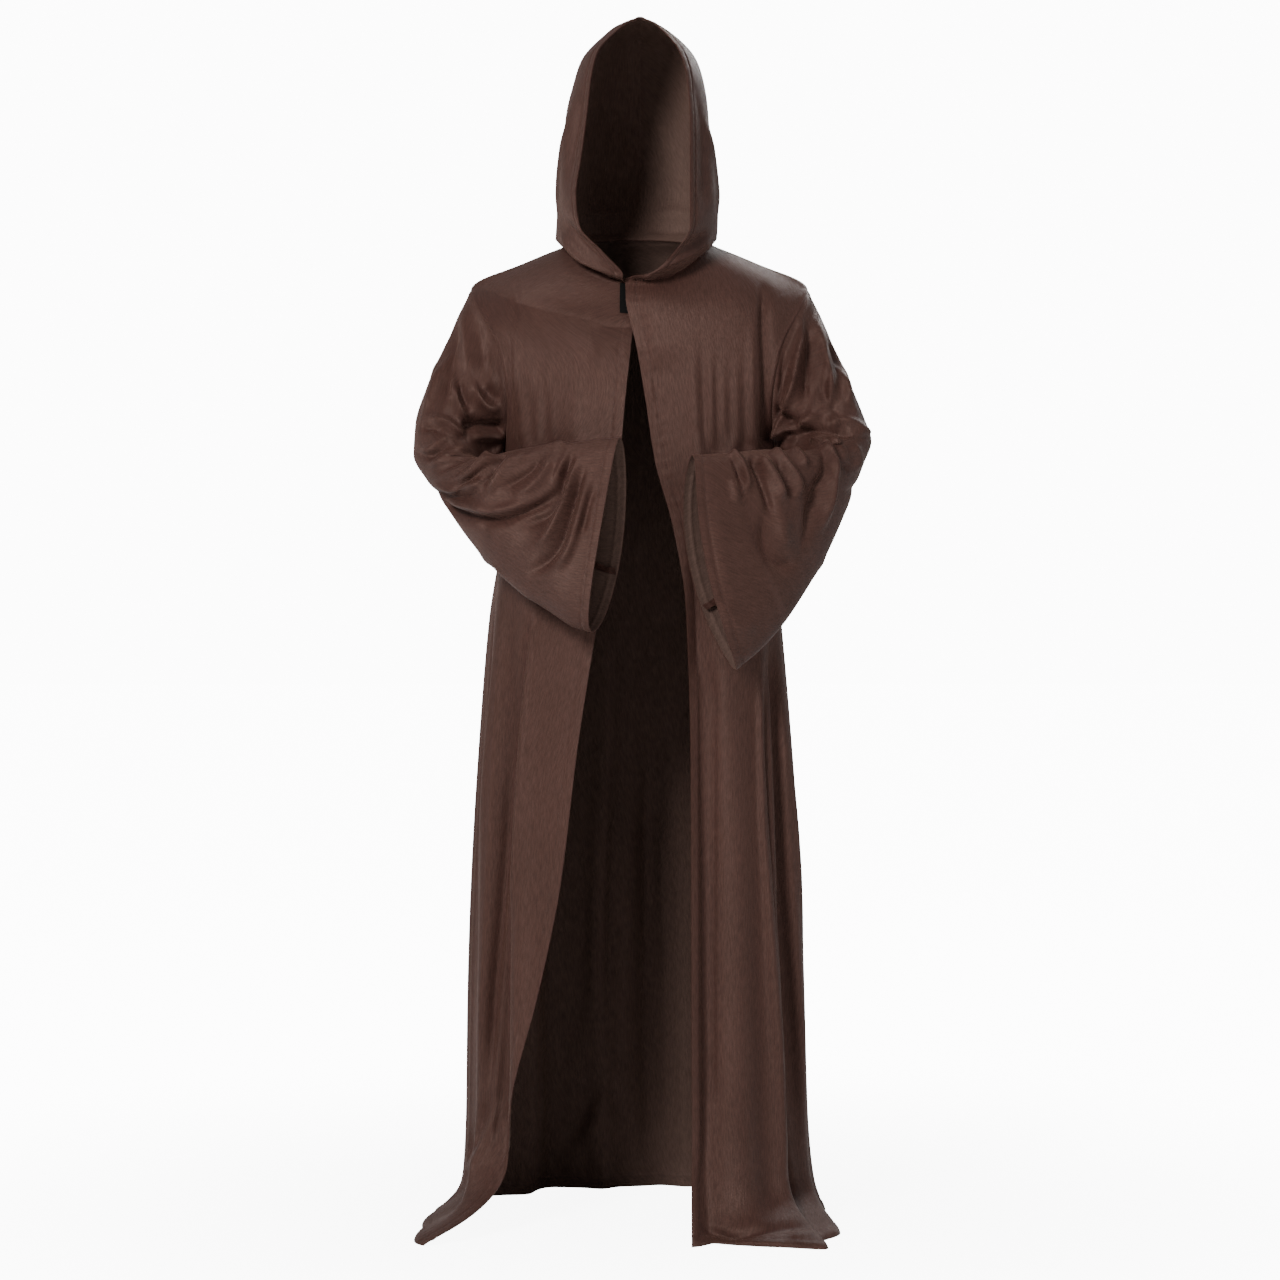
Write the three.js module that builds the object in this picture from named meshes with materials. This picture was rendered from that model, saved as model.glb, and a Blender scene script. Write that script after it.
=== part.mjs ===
// A hooded monk's robe, open down the front, with wide bell sleeves. It keeps the hollow form it has on a
// standing wearer whose forearms are held across the front, and it reaches the floor.
// Millimetres, +Z up, the front faces -Y, the wearer's right is -X, and the origin is between the shoulders.
// Every piece that is cut and sewn is a wall of cloth of its own, SEAM_GAP from the piece it is sewn to.
import * as THREE from "three";

// Driving dimensions
const CLOTH = 2;
const SEAM_GAP = 0.3;
const FLOOR = -1470;
const HEM = FLOOR + CLOTH;
// What lies on a piece is this far clear of it.
const LAYER_GAP = 0.5;
const TAPE = 1.2;
const TAPE_WIDTH = 22;
const LOOP_TAPE_FROM = -30;
const HOOK_TAPE_FROM = -18;
// The tapes cross the fronts' rows from just below the neckline down to about 50 mm below it.
const TAPE_ROWS = [0.3, 1, 2, 2.9];
// The left front passes over the right front and both halves of the fastener tape. It is lifted in full up to
// the first of these angles and rings, and not past the second.
const OVERLAP_LIFT = CLOTH + 2 * TAPE + 3 * LAYER_GAP;
const OVERLAP_ANGLES = [6, 26];
const OVERLAP_RINGS = [2.7, 3.6];

// Grid steps of the panels
const YOKE_STEPS = 4;
const ARMHOLE_STEPS = 10;
const SKIRT_STEPS = 12;
const FRONT_COLUMNS = 18;
const BACK_COLUMNS = 36;
// The right front's first columns lie under the left front, and no hood is sewn to them.
const UNDERLAP_COLUMNS = 2;
const SLEEVE_STEPS = 20;
const HOOD_STEPS = 11;

const RIGHT = -1;
const LEFT = 1;

// How sharply a ring's height leaves that of its front or back for that of its side
const HEIGHT_POWER = 1.6;
// How sharply the hem is pushed out towards the floor
const KICK_POWER = 1.5;
// How round the armhole's curve is, and how much closer together its rows are at its ends
const ARMHOLE_ROUND = 0.8;
const ARMHOLE_EASE = 0.6;
// The stations of a sleeve and the levels of the hood over which each is fitted to its seam with the body
const SLEEVE_FIT = 3.2;
const HOOD_FIT = 1.5;
// A seam's vectors are read this far inside a sheet, and a mitre is never cut sharper than the second value.
const SEAM_STEP = 0.02;
const LEAST_MITRE = 0.6;

// A table with named columns, one object for each row.
function table(columns, rows) {
  const names = columns.split(" ");
  return rows.map((row) => Object.fromEntries(names.map((name, i) => [name, row[i]])));
}

// The rings of the body from the neckline to the hem. Each gives the heights at the front, side and back,
// the half widths on the two sides, the depths in front of and behind the axis, and how square it is.
const BODY_RINGS = table("at zFront zSide zBack right left front back square", [
  ["neckline", -58, 12, 28, 104, 104, 100, 78, 2.0],
  ["yoke", -90, -18, 4, 178, 178, 122, 104, 2.1],
  ["shoulder", -128, -58, -36, 258, 256, 132, 120, 2.3],
  ["upper chest", -170, -130, -110, 246, 246, 139, 128, 2.5],
  ["chest", -235, -220, -210, 226, 224, 144, 134, 2.6],
  ["armpit", -326, -326, -326, 206, 204, 147, 138, 2.6],
  ["waist", -430, -430, -430, 210, 203, 149, 143, 2.6],
  ["hip", -560, -560, -560, 226, 213, 154, 154, 2.5],
  ["thigh", -750, -750, -750, 237, 225, 168, 172, 2.4],
  ["knee", -960, -960, -960, 245, 235, 190, 192, 2.3],
  ["calf", -1160, -1160, -1160, 249, 240, 218, 210, 2.2],
  ["ankle", -1330, -1330, -1330, 251, 245, 248, 224, 2.2],
  ["break", -1425, -1425, -1425, 256, 255, 276, 230, 2.2],
  ["hem", HEM, HEM, HEM, 268, 270, 300, 232, 2.2],
]);
const SHOULDER = 2;
const ARMPIT = 5;
const LAST_RING = BODY_RINGS.length - 1;

// How far the armhole's edge is cut forward and back from the side, in degrees.
const ARMHOLE_FRONT = 37;
const ARMHOLE_BACK = 33;

// Where the two front edges lie across the body at each ring.
const FRONT_EDGES = table("at right left", [
  ["neckline", 4, -22],
  ["yoke", 4, -21],
  ["shoulder", -10, -12],
  ["upper chest", -15, -3],
  ["chest", -22, 8],
  ["armpit", -30, 22],
  ["waist", -40, 50],
  ["hip", -62, 70],
  ["thigh", -92, 76],
  ["knee", -118, 76],
  ["calf", -159, 76],
  ["ankle", -192, 76],
  ["break", -222, 75],
  ["hem", -244, 74],
]);

// Folds of the body. Each is a ridge (out above 0) or a trough, at an angle from the front that drifts from
// top to bottom, with its width in degrees, and it grows between two rings and may end at a third.
const BODY_FOLDS = table("side top bottom width out from full end", [
  [RIGHT, 50, 44, 5, 9, 2.2, 4, 7],
  [RIGHT, 27, 24, 6, 4, 3, 5, 7],
  [RIGHT, 44, 43, 4.5, 15, 6, 10, 99],
  [RIGHT, 55, 53, 4.5, -16, 6, 10, 99],
  [RIGHT, 65, 64, 5, 15, 6, 10, 99],
  [RIGHT, 78, 76, 5, -15, 6, 10, 99],
  [RIGHT, 95, 93, 6, 16, 5.5, 10, 99],
  [LEFT, 50, 48, 5, 8, 2.2, 4, 7],
  [LEFT, 24, 23, 3.5, 6, 3, 5, 6.5],
  [LEFT, 38, 37, 3.5, 7, 3, 5, 6.5],
  [LEFT, 24, 24, 4.5, -17, 5.5, 8, 99],
  [LEFT, 36, 38, 6, 8, 7, 10, 99],
  [LEFT, 50, 53, 4.5, 16, 6, 10, 99],
  [LEFT, 60, 62, 4.5, -16, 6, 10, 99],
  [LEFT, 70, 72, 5, 15, 6, 10, 99],
  [LEFT, 84, 84, 5, -14, 6, 10, 99],
  [LEFT, 98, 97, 6, 15, 5.5, 10, 99],
  [RIGHT, 110, 108, 6, -18, 5, 10, 99],
  [RIGHT, 124, 121, 6, 18, 4, 10, 99],
  [RIGHT, 138, 136, 6, -20, 4, 10, 99],
  [RIGHT, 153, 150, 6, 18, 4, 10, 99],
  [RIGHT, 168, 166, 5, -20, 4, 10, 99],
  [LEFT, 112, 110, 6, -18, 5, 10, 99],
  [LEFT, 127, 125, 6, 18, 4, 10, 99],
  [LEFT, 143, 140, 6, -20, 4, 10, 99],
  [LEFT, 159, 156, 6, 18, 4, 10, 99],
  [LEFT, 178, 173, 6, 14, 4, 10, 99],
]);

// Where the hem is pushed out along the floor: by the wearer's step on the right, as it breaks on the left.
const HEM_KICKS = table("side angle width from x y", [
  [RIGHT, 60, 22, 10.4, -26, -137],
  [RIGHT, 76, 16, 11.6, -60, 0],
  [LEFT, 58, 20, 11.4, 34, -120],
]);

// A sleeve's sections. Each runs from an inner point, at the crook of the arm and along the top of the
// forearm, to an outer point, down the elbow and along the hanging edge. front and back are its half
// thicknesses, turn is how far its front is turned away from the body's middle, taper thins it towards the
// outer point, and bow is how far its walls are bent towards the middle.
const SLEEVE_COLUMNS = "innerX innerY innerZ outerX outerY outerZ front back turn taper bow";
const RIGHT_SLEEVE = table(SLEEVE_COLUMNS, [
  [-206, 0, -326, -258, 0, -58, 92, 88, 0, 0, 0],
  [-222, -12, -334, -281, -4, -106, 86, 80, 4, 0, 0],
  [-229, -36, -336, -302, -12, -156, 80, 74, 8, 0, 0],
  [-226, -62, -332, -322, -22, -210, 74, 72, 12, 0, 0],
  [-219, -88, -328, -337, -34, -264, 68, 70, 16, 0.05, 0],
  [-210, -112, -323, -339, -48, -312, 62, 66, 20, 0.1, 0],
  [-200, -132, -318, -317, -66, -354, 56, 58, 24, 0.15, 0],
  [-188, -156, -314, -286, -92, -396, 52, 46, 28, 0.2, 0],
  [-172, -176, -311, -255, -118, -440, 49, 41, 30, 0.2, 0],
  [-152, -193, -309, -216, -147, -485, 46, 38, 31, 0.1, 0],
  [-127, -208, -307, -172, -175, -524, 43, 37, 31, 0, 2],
  [-97, -221, -305, -127, -201, -554, 40, 37, 30, -0.1, 4],
  [-63, -232, -301, -94, -222, -575, 37, 37, 29, -0.2, 6],
  [-29, -240, -299, -69, -238, -581, 35, 38, 28, -0.25, 7],
]);
const LEFT_SLEEVE = table(SLEEVE_COLUMNS, [
  [204, 0, -326, 256, 0, -58, 92, 88, 0, 0, 0],
  [215, -12, -331, 278, -4, -104, 86, 82, 4, 0, 0],
  [222, -36, -332, 300, -12, -156, 80, 76, 8, 0, 0],
  [222, -62, -328, 319, -22, -208, 74, 72, 12, 0, 0],
  [218, -88, -322, 338, -32, -258, 68, 70, 15, 0.05, 0],
  [213, -112, -316, 348, -46, -290, 62, 66, 18, 0.1, 0],
  [206, -132, -312, 334, -64, -330, 56, 58, 20, 0.15, 1],
  [196, -152, -311, 318, -86, -372, 52, 54, 21, 0.2, 3],
  [183, -172, -312, 299, -110, -418, 48, 50, 21, 0.2, 6],
  [168, -190, -314, 275, -138, -468, 45, 46, 21, 0.15, 9],
  [150, -206, -317, 244, -166, -520, 42, 42, 21, 0.1, 12],
  [128, -220, -320, 208, -194, -572, 39, 39, 20, 0.05, 16],
  [103, -234, -322, 169, -220, -613, 36, 37, 20, 0, 20],
  [76, -246, -324, 139, -240, -636, 33, 35, 20, 0, 24],
]);
const LAST_SECTION = RIGHT_SLEEVE.length - 1;
// How far round the back of the sleeve its underarm seam has turned at the cuff, in degrees.
const SEAM_TURN = 114;

// The sleeves' largest folds. Each follows a line from (station, angle) to (station, angle), with its half
// width in mm, and angles are from the inner point round the back of the sleeve.
const SLEEVE_FOLDS = table("side station angle toStation toAngle width out", [
  [RIGHT, 0.8, 215, 4, 235, 13, 8],
  [RIGHT, 1.2, 250, 4.2, 262, 13, 9],
  [RIGHT, 1, 285, 4, 296, 12, -9],
  [RIGHT, 1.4, 150, 4.4, 140, 16, 9],
  [RIGHT, 1.4, 100, 4.6, 100, 16, -9],
  [RIGHT, 5.2, 320, 5, 215, 10, -9],
  [RIGHT, 6.4, 325, 6, 225, 10, 9],
  [RIGHT, 7.6, 325, 7, 215, 10, -9],
  [RIGHT, 9, 325, 8, 210, 12, 9],
  [RIGHT, 11.2, 325, 9.4, 215, 13, -9],
  [RIGHT, 12.4, 330, 11, 215, 13, 9],
  [RIGHT, 5.6, 40, 6, 140, 12, 8],
  [RIGHT, 7.4, 45, 8, 140, 12, -8],
  [LEFT, 1, 215, 4.2, 232, 13, 8],
  [LEFT, 1.2, 250, 4.2, 262, 13, -9],
  [LEFT, 1, 285, 4, 292, 13, 9],
  [LEFT, 1.4, 150, 4.4, 140, 16, 9],
  [LEFT, 1.4, 100, 4.6, 100, 16, -9],
  [LEFT, 5, 325, 4.8, 200, 12, -10],
  [LEFT, 6.4, 325, 7, 215, 12, 9],
  [LEFT, 7.8, 325, 8.6, 230, 12, -9],
  [LEFT, 9.2, 330, 10, 240, 12, 9],
  [LEFT, 10.6, 330, 11, 250, 12, -9],
  [LEFT, 12, 330, 12.4, 230, 12, 7],
  [LEFT, 5.6, 40, 6, 140, 12, 8],
  [LEFT, 7.4, 45, 8, 140, 12, -8],
]);

// The hood's levels from the neckline to the crown seam: heights at the face edge, the side and the back
// seam, depths of those three, and how far the face edges and the sides are from the middle.
const HOOD_LEVELS = table("at zFront zSide zBack yFront ySide yBack edgeRight edgeLeft sideRight sideLeft", [
  ["neckline", -58, 12, 28, -100, 0, 78, 24, -22, 104, 104],
  ["roll", -47, 20, 44, -122, 0, 100, 25, 6, 129, 117],
  ["collar", -14, 52, 78, -130, 0, 126, 56, 52, 127, 119],
  ["throat", 26, 84, 112, -128, 0, 142, 91, 75, 125, 118],
  ["jaw", 74, 112, 138, -120, 0, 150, 96, 75, 124, 116],
  ["cheek", 132, 150, 170, -110, 0, 153, 88, 75, 121, 112],
  ["temple", 196, 202, 212, -100, 0, 150, 80, 75, 115, 106],
  ["brow", 250, 252, 252, -90, 2, 138, 74, 71, 103, 99],
  ["upper brow", 292, 292, 286, -80, 5, 120, 64, 60, 90, 87],
  ["crown side", 322, 324, 314, -72, 8, 98, 40, 38, 62, 60],
  ["crown", 340, 344, 332, -66, 10, 82, 18, 18, 36, 30],
  ["crown seam", 348, 353, 340, -62, 10, 74, 0, 0, 0, 0],
]);
const CROWN = HOOD_LEVELS.length - 1;

const radians = THREE.MathUtils.degToRad;
const { clamp, smoothstep, lerp } = THREE.MathUtils;

// Reads a column of a table between its rows: a smooth curve that never passes its rows' values.
function reader(rows, column) {
  const value = rows.map((row) => row[column]);
  const last = value.length - 1;
  const steps = value.slice(1).map((next, i) => next - value[i]);
  const slope = value.map((_, i) => {
    if (i === 0) return steps[0];
    if (i === last) return steps[last - 1];
    const before = steps[i - 1];
    const after = steps[i];
    return before * after > 0 ? (2 * before * after) / (before + after) : 0;
  });
  return (at) => {
    const i = clamp(Math.floor(at), 0, last - 1);
    const f = at - i;
    const blend = f * f * (3 - 2 * f);
    const bend = f * (1 - f);
    return lerp(value[i], value[i + 1], blend) + bend * ((1 - f) * slope[i] - f * slope[i + 1]);
  };
}

function readers(rows) {
  const columns = Object.keys(rows[0]).filter((name) => typeof rows[0][name] === "number");
  return Object.fromEntries(columns.map((name) => [name, reader(rows, name)]));
}

const ring = readers(BODY_RINGS);
const frontEdge = readers(FRONT_EDGES);
const hoodLevel = readers(HOOD_LEVELS);
const sleeveSection = { [RIGHT]: readers(RIGHT_SLEEVE), [LEFT]: readers(LEFT_SLEEVE) };

// A bell curve, 1 in the middle and nearly 0 two widths away.
function bell(distance, width) {
  return Math.exp(-((distance / width) ** 2));
}

// How far apart two angles are, the shorter way round.
function apartOf(angle, other) {
  const apart = Math.abs(angle - other) % 360;
  return Math.min(apart, 360 - apart);
}

// The unit vector out of a surface's outside, which is on the left of the way down it, seen from outside.
function outOf(surface, across, down) {
  const step = 0.01;
  const overAcross = surface(across + step, down).sub(surface(across - step, down));
  const overDown = surface(across, down + step).sub(surface(across, down - step));
  return overDown.cross(overAcross).normalize();
}

// The vector out of a seam between two surfaces, long enough to keep both walls' thickness.
function mitre(out, otherOut) {
  const between = out.clone().add(otherOut).normalize();
  return between.divideScalar(Math.max(between.dot(out), LEAST_MITRE));
}

// How far the folds push a point of the body outwards.
function foldOut(angle, at) {
  let out = 0;
  for (const fold of BODY_FOLDS) {
    const apart = apartOf(angle, fold.side * lerp(fold.top, fold.bottom, at / LAST_RING));
    const grown = smoothstep(at, fold.from, fold.full) * (1 - smoothstep(at, fold.end - 1, fold.end));
    out += fold.out * grown * bell(apart, fold.width);
  }
  return out;
}

// The middle of the body's cloth, at an angle in degrees from the front towards the left and at a ring.
function bodyPoint(angle, at) {
  const sine = Math.sin(radians(angle));
  const cosine = Math.cos(radians(angle));
  const square = ring.square(at);
  const reach = (Math.abs(sine) ** square + Math.abs(cosine) ** square) ** (-1 / square);
  const wide = sine < 0 ? ring.right(at) : ring.left(at);
  const deep = cosine > 0 ? ring.front(at) : ring.back(at);
  const endHeight = cosine > 0 ? ring.zFront(at) : ring.zBack(at);
  const point = new THREE.Vector3(wide * reach * sine, -deep * reach * cosine, 0);
  const away = new THREE.Vector3(point.x / wide, point.y / deep, 0).normalize();
  point.addScaledVector(away, foldOut(angle, at));
  point.z = lerp(ring.zSide(at), endHeight, Math.abs(cosine) ** HEIGHT_POWER);
  for (const kick of HEM_KICKS) {
    const near = bell(apartOf(angle, kick.side * kick.angle), kick.width);
    const push = near * smoothstep(at, kick.from, LAST_RING) ** KICK_POWER;
    point.x += kick.x * push;
    point.y += kick.y * push;
  }
  return point;
}

// The middle of the left front's cloth, which lies over the right front from the neck to the chest.
function leftFrontPoint(angle, at) {
  const over = (1 - smoothstep(angle, ...OVERLAP_ANGLES)) * (1 - smoothstep(at, ...OVERLAP_RINGS));
  return bodyPoint(angle, at).addScaledVector(outOf(bodyPoint, angle, at), OVERLAP_LIFT * over);
}

// The angle at which a ring has a given place across the body, in front of its axis.
function angleAt(x, at) {
  const across = Math.abs(x) / (x < 0 ? ring.right(at) : ring.left(at));
  const square = ring.square(at);
  const ahead = (1 - across ** square) ** (1 / square);
  return Math.sign(x) * THREE.MathUtils.radToDeg(Math.atan2(across, ahead));
}

// The ring of an armhole step, closer together at both ends of the armhole.
function armholeRing(step) {
  const share = step / ARMHOLE_STEPS;
  const eased = (1 - Math.cos(Math.PI * share)) / 2;
  return lerp(SHOULDER, ARMPIT, lerp(share, eased, ARMHOLE_EASE));
}

// The ring of a row of a panel: the yoke's rows, the armhole's and the skirt's.
function ringOf(row) {
  const step = row - YOKE_STEPS;
  if (step < 0) return (SHOULDER * row) / YOKE_STEPS;
  if (step <= ARMHOLE_STEPS) return armholeRing(step);
  return ARMPIT + ((LAST_RING - ARMPIT) * (step - ARMHOLE_STEPS)) / SKIRT_STEPS;
}
const BODY_ROWS = YOKE_STEPS + ARMHOLE_STEPS + SKIRT_STEPS;

// How far, in degrees, the armhole is cut away from the side at a row.
function armholeCut(row, depth) {
  const share = clamp((row - YOKE_STEPS) / ARMHOLE_STEPS, 0, 1);
  return depth * Math.sin(Math.PI * share) ** ARMHOLE_ROUND;
}

// The angle of a front's grid line, counted from its front edge to its side, at a row.
function frontAngle(side, column, row) {
  const at = ringOf(row);
  const edge = angleAt(side === RIGHT ? frontEdge.right(at) : frontEdge.left(at), at);
  return lerp(edge, side * (90 - armholeCut(row, ARMHOLE_FRONT)), frontShare(side, column));
}

// The share of a front's width that its columns take. The right front's underlap ends where the hood starts.
function frontShare(side, column) {
  if (side === LEFT) return column / FRONT_COLUMNS;
  const edge = angleAt(frontEdge.right(0), 0);
  const hoodStart = (angleAt(-HOOD_LEVELS[0].edgeRight, 0) - edge) / (-90 - edge);
  if (column < UNDERLAP_COLUMNS) return (hoodStart * column) / UNDERLAP_COLUMNS;
  return lerp(hoodStart, 1, (column - UNDERLAP_COLUMNS) / (FRONT_COLUMNS - UNDERLAP_COLUMNS));
}

// The angle of the back's grid line, counted from the left side to the right side, at a row.
function backAngle(column, row) {
  const cut = armholeCut(row, ARMHOLE_BACK);
  return lerp(90 + cut, 270 - cut, column / BACK_COLUMNS);
}

// The armhole's edge as a closed line: turn 0 is the armpit, and it runs up the back to the shoulder's end at
// half its length and down the front. Gives the angle and the ring.
function armholePlace(side, turn) {
  const along = (((turn % 1) + 1) % 1) * 2 * ARMHOLE_STEPS;
  const step = Math.abs(along - ARMHOLE_STEPS);
  const row = YOKE_STEPS + step;
  const cut = along < ARMHOLE_STEPS ? armholeCut(row, ARMHOLE_BACK) : -armholeCut(row, ARMHOLE_FRONT);
  return [side * (90 + cut), armholeRing(step)];
}

// How far the sleeve's folds push a point outwards, by its distance from each fold's line.
function sleeveFoldOut(side, station, angle) {
  // One station is about 35 mm along the sleeve, and one degree about 1.6 mm round it.
  const steps = new THREE.Vector2(35, 1.6);
  let out = 0;
  for (const fold of SLEEVE_FOLDS) {
    if (fold.side !== side) continue;
    const line = new THREE.Vector2(fold.toStation - fold.station, fold.toAngle - fold.angle).multiply(steps);
    const from = new THREE.Vector2(station - fold.station, angle - fold.angle).multiply(steps);
    const share = clamp(from.dot(line) / line.lengthSq(), 0, 1);
    const apart = from.addScaledVector(line, -share).length();
    // A fold is low where it starts, full along its middle and low again at its end.
    out += fold.out * bell(apart, fold.width) * Math.sin(Math.PI * lerp(0.12, 0.9, share));
  }
  return out;
}

// A point of a sleeve's section before it is fitted to the armhole.
function sectionPoint(side, angle, station) {
  const section = sleeveSection[side];
  const inner = new THREE.Vector3(section.innerX(station), section.innerY(station), section.innerZ(station));
  const outer = new THREE.Vector3(section.outerX(station), section.outerY(station), section.outerZ(station));
  const middle = inner.clone().lerp(outer, 0.5);
  const cosine = Math.cos(radians(angle));
  const sine = Math.sin(radians(angle));
  const facing = radians(section.turn(station));
  const backwards = new THREE.Vector3(-side * Math.sin(facing), Math.cos(facing), 0);
  const thick = sine > 0 ? section.back(station) : section.front(station);
  const point = middle.clone().addScaledVector(inner.sub(middle), cosine);
  point.x -= side * section.bow(station) * sine ** 2;
  point.addScaledVector(backwards, sine * thick * (1 + section.taper(station) * cosine));
  const away = point.clone().sub(middle).normalize();
  const round = ((angle % 360) + 360) % 360;
  return point.addScaledVector(away, sleeveFoldOut(side, station, round) * smoothstep(station, 0.3, 2));
}

// The middle of a sleeve's cloth at a turn round it, from the underarm seam, and a station down it.
function sleevePoint(side, turn, station) {
  const point = sectionPoint(side, 360 * turn + SEAM_TURN * smoothstep(station, 0, LAST_SECTION), station);
  const fitted = 1 - smoothstep(station, 0, SLEEVE_FIT);
  if (fitted === 0) return point;
  const fit = bodyPoint(...armholePlace(side, turn)).sub(sectionPoint(side, 360 * turn, 0));
  return point.addScaledVector(fit, fitted);
}

// The hood is sewn on from this column of each front, counted from its front edge.
const HOOD_START = { [RIGHT]: UNDERLAP_COLUMNS, [LEFT]: 0 };

// The angle on the body's neckline of a share round the hood, from its face edge to the back seam.
function necklineAngle(side, share) {
  if (share >= 0.5) return side * 180 * share;
  return frontAngle(side, lerp(HOOD_START[side], FRONT_COLUMNS, 2 * share), 0);
}

function necklinePoint(side, share) {
  const surface = side === LEFT && share < 0.5 ? leftFrontPoint : bodyPoint;
  return surface(necklineAngle(side, share), 0);
}

// The middle of the hood's cloth at a share round it, from the face edge to the back seam, and a level.
function hoodShape(side, share, level) {
  const width = Math.max(side === RIGHT ? hoodLevel.sideRight(level) : hoodLevel.sideLeft(level), 0.01);
  const edge = side === RIGHT ? hoodLevel.edgeRight(level) : hoodLevel.edgeLeft(level);
  const edgeAngle = Math.asin(clamp(edge / width, -1, 1));
  const angle = share < 0.5 ? lerp(edgeAngle, Math.PI / 2, share * 2) : Math.PI * share;
  const towardsFront = Math.cos(angle) / Math.cos(edgeAngle);
  const isFront = towardsFront > 0;
  const towardsEnd = isFront ? towardsFront : -Math.cos(angle);
  const middle = hoodLevel.ySide(level);
  const end = isFront ? hoodLevel.yFront(level) : hoodLevel.yBack(level);
  const endHeight = isFront ? hoodLevel.zFront(level) : hoodLevel.zBack(level);
  return new THREE.Vector3(
    side * width * Math.sin(angle),
    lerp(middle, end, towardsEnd),
    lerp(hoodLevel.zSide(level), endHeight, clamp(towardsEnd, 0, 1) ** HEIGHT_POWER),
  );
}

// The hood's shape, sewn to the neckline at its lowest level.
function hoodPoint(side, share, level) {
  const point = hoodShape(side, share, level);
  const sewn = 1 - smoothstep(level, 0, HOOD_FIT);
  if (sewn === 0) return point;
  const fit = necklinePoint(side, share).sub(hoodShape(side, share, 0));
  return point.addScaledVector(fit, sewn);
}

// A sheet of cloth over a grid: its middle points, and the vectors out of its outside.
function sheet(surface, rows, columns, place) {
  const rowNumbers = [...Array(rows + 1).keys()];
  const columnNumbers = [...Array(columns + 1).keys()];
  const places = rowNumbers.map((i) => columnNumbers.map((j) => place(i, j)));
  return {
    middle: places.map((row) => row.map(([across, down]) => surface(across, down))),
    out: places.map((row) => row.map(([across, down]) => outOf(surface, across, down))),
  };
}

// Draws a border back from its seam by half the gap, towards the inside of its own sheet. inside gives the
// grid place next to a border place, and a closed border's ends are neighbours.
function drawBack(cloth, border, inside, isClosed = false) {
  const last = border.length - 1;
  const at = ([i, j]) => cloth.middle[i][j];
  const neighbour = (k) => at(border[isClosed ? (k + last + 1) % (last + 1) : clamp(k, 0, last)]);
  const moves = border.map(([i, j], k) => {
    const along = neighbour(k + 1).clone().sub(neighbour(k - 1));
    const inwards = at(inside(i, j)).clone().sub(at([i, j]));
    const move = cloth.out[i][j].clone().cross(along).normalize();
    return move.multiplyScalar((Math.sign(move.dot(inwards)) * SEAM_GAP) / 2);
  });
  return border.map(([i, j], k) => ({ i, j, move: moves[k] }));
}

function applyMoves(cloth, moves) {
  for (const { i, j, move } of moves) cloth.middle[i][j].add(move);
}

// The grid places of a whole row or of a stretch of a column.
function rowBorder(row, columns) {
  return [...Array(columns + 1).keys()].map((j) => [row, j]);
}

function columnBorder(column, from, to) {
  return [...Array(to - from + 1).keys()].map((k) => [from + k, column]);
}

// A closed wall of cloth over a sheet. A tube joins its last column to its first.
function wall(cloth, isTube = false, thickness = CLOTH, lift = 0) {
  const rows = cloth.middle.length;
  const columns = cloth.middle[0].length;
  const position = [];
  const index = [];
  for (const offset of [lift + thickness / 2, lift - thickness / 2]) {
    cloth.middle.forEach((row, i) => {
      row.forEach((point, j) => position.push(...point.clone().addScaledVector(cloth.out[i][j], offset)));
    });
  }
  const outer = (i, j) => i * columns + (j % columns);
  const inner = (i, j) => rows * columns + outer(i, j);
  const face = (a, b, c, d) => index.push(a, b, c, a, c, d);
  const spans = isTube ? columns : columns - 1;
  for (let i = 0; i + 1 < rows; i += 1) {
    for (let j = 0; j < spans; j += 1) {
      face(outer(i, j), outer(i + 1, j), outer(i + 1, j + 1), outer(i, j + 1));
      face(inner(i, j), inner(i, j + 1), inner(i + 1, j + 1), inner(i + 1, j));
    }
    if (!isTube) {
      face(outer(i, 0), inner(i, 0), inner(i + 1, 0), outer(i + 1, 0));
      face(outer(i, spans), outer(i + 1, spans), inner(i + 1, spans), inner(i, spans));
    }
  }
  for (let j = 0; j < spans; j += 1) {
    face(outer(0, j), outer(0, j + 1), inner(0, j + 1), inner(0, j));
    face(outer(rows - 1, j), inner(rows - 1, j), inner(rows - 1, j + 1), outer(rows - 1, j + 1));
  }
  const geometry = new THREE.BufferGeometry();
  geometry.setAttribute("position", new THREE.Float32BufferAttribute(position, 3));
  geometry.setIndex(index);
  geometry.computeVertexNormals();
  return geometry;
}

const ARMPIT_ROW = YOKE_STEPS + ARMHOLE_STEPS;
const sleeveSurface = {
  [RIGHT]: (across, station) => sleevePoint(RIGHT, across, station),
  [LEFT]: (across, station) => sleevePoint(LEFT, -across, station),
};
const hoodSurface = {
  [RIGHT]: (across, level) => hoodPoint(RIGHT, across, level),
  [LEFT]: (across, level) => hoodPoint(LEFT, 1 - across, level),
};

// The vector out of a seam with the sleeve, and out of a seam with the hood.
function armholeOut(side, turn) {
  const out = outOf(bodyPoint, ...armholePlace(side, turn));
  return mitre(out, outOf(sleeveSurface[side], side === LEFT ? -turn : turn, SEAM_STEP));
}

function necklineOut(side, share) {
  const surface = side === LEFT && share < 0.5 ? leftFrontPoint : bodyPoint;
  const out = outOf(surface, necklineAngle(side, share), SEAM_STEP);
  const inset = clamp(share, 0.01, 0.99);
  return mitre(out, outOf(hoodSurface[side], side === LEFT ? 1 - inset : inset, SEAM_STEP));
}

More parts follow.
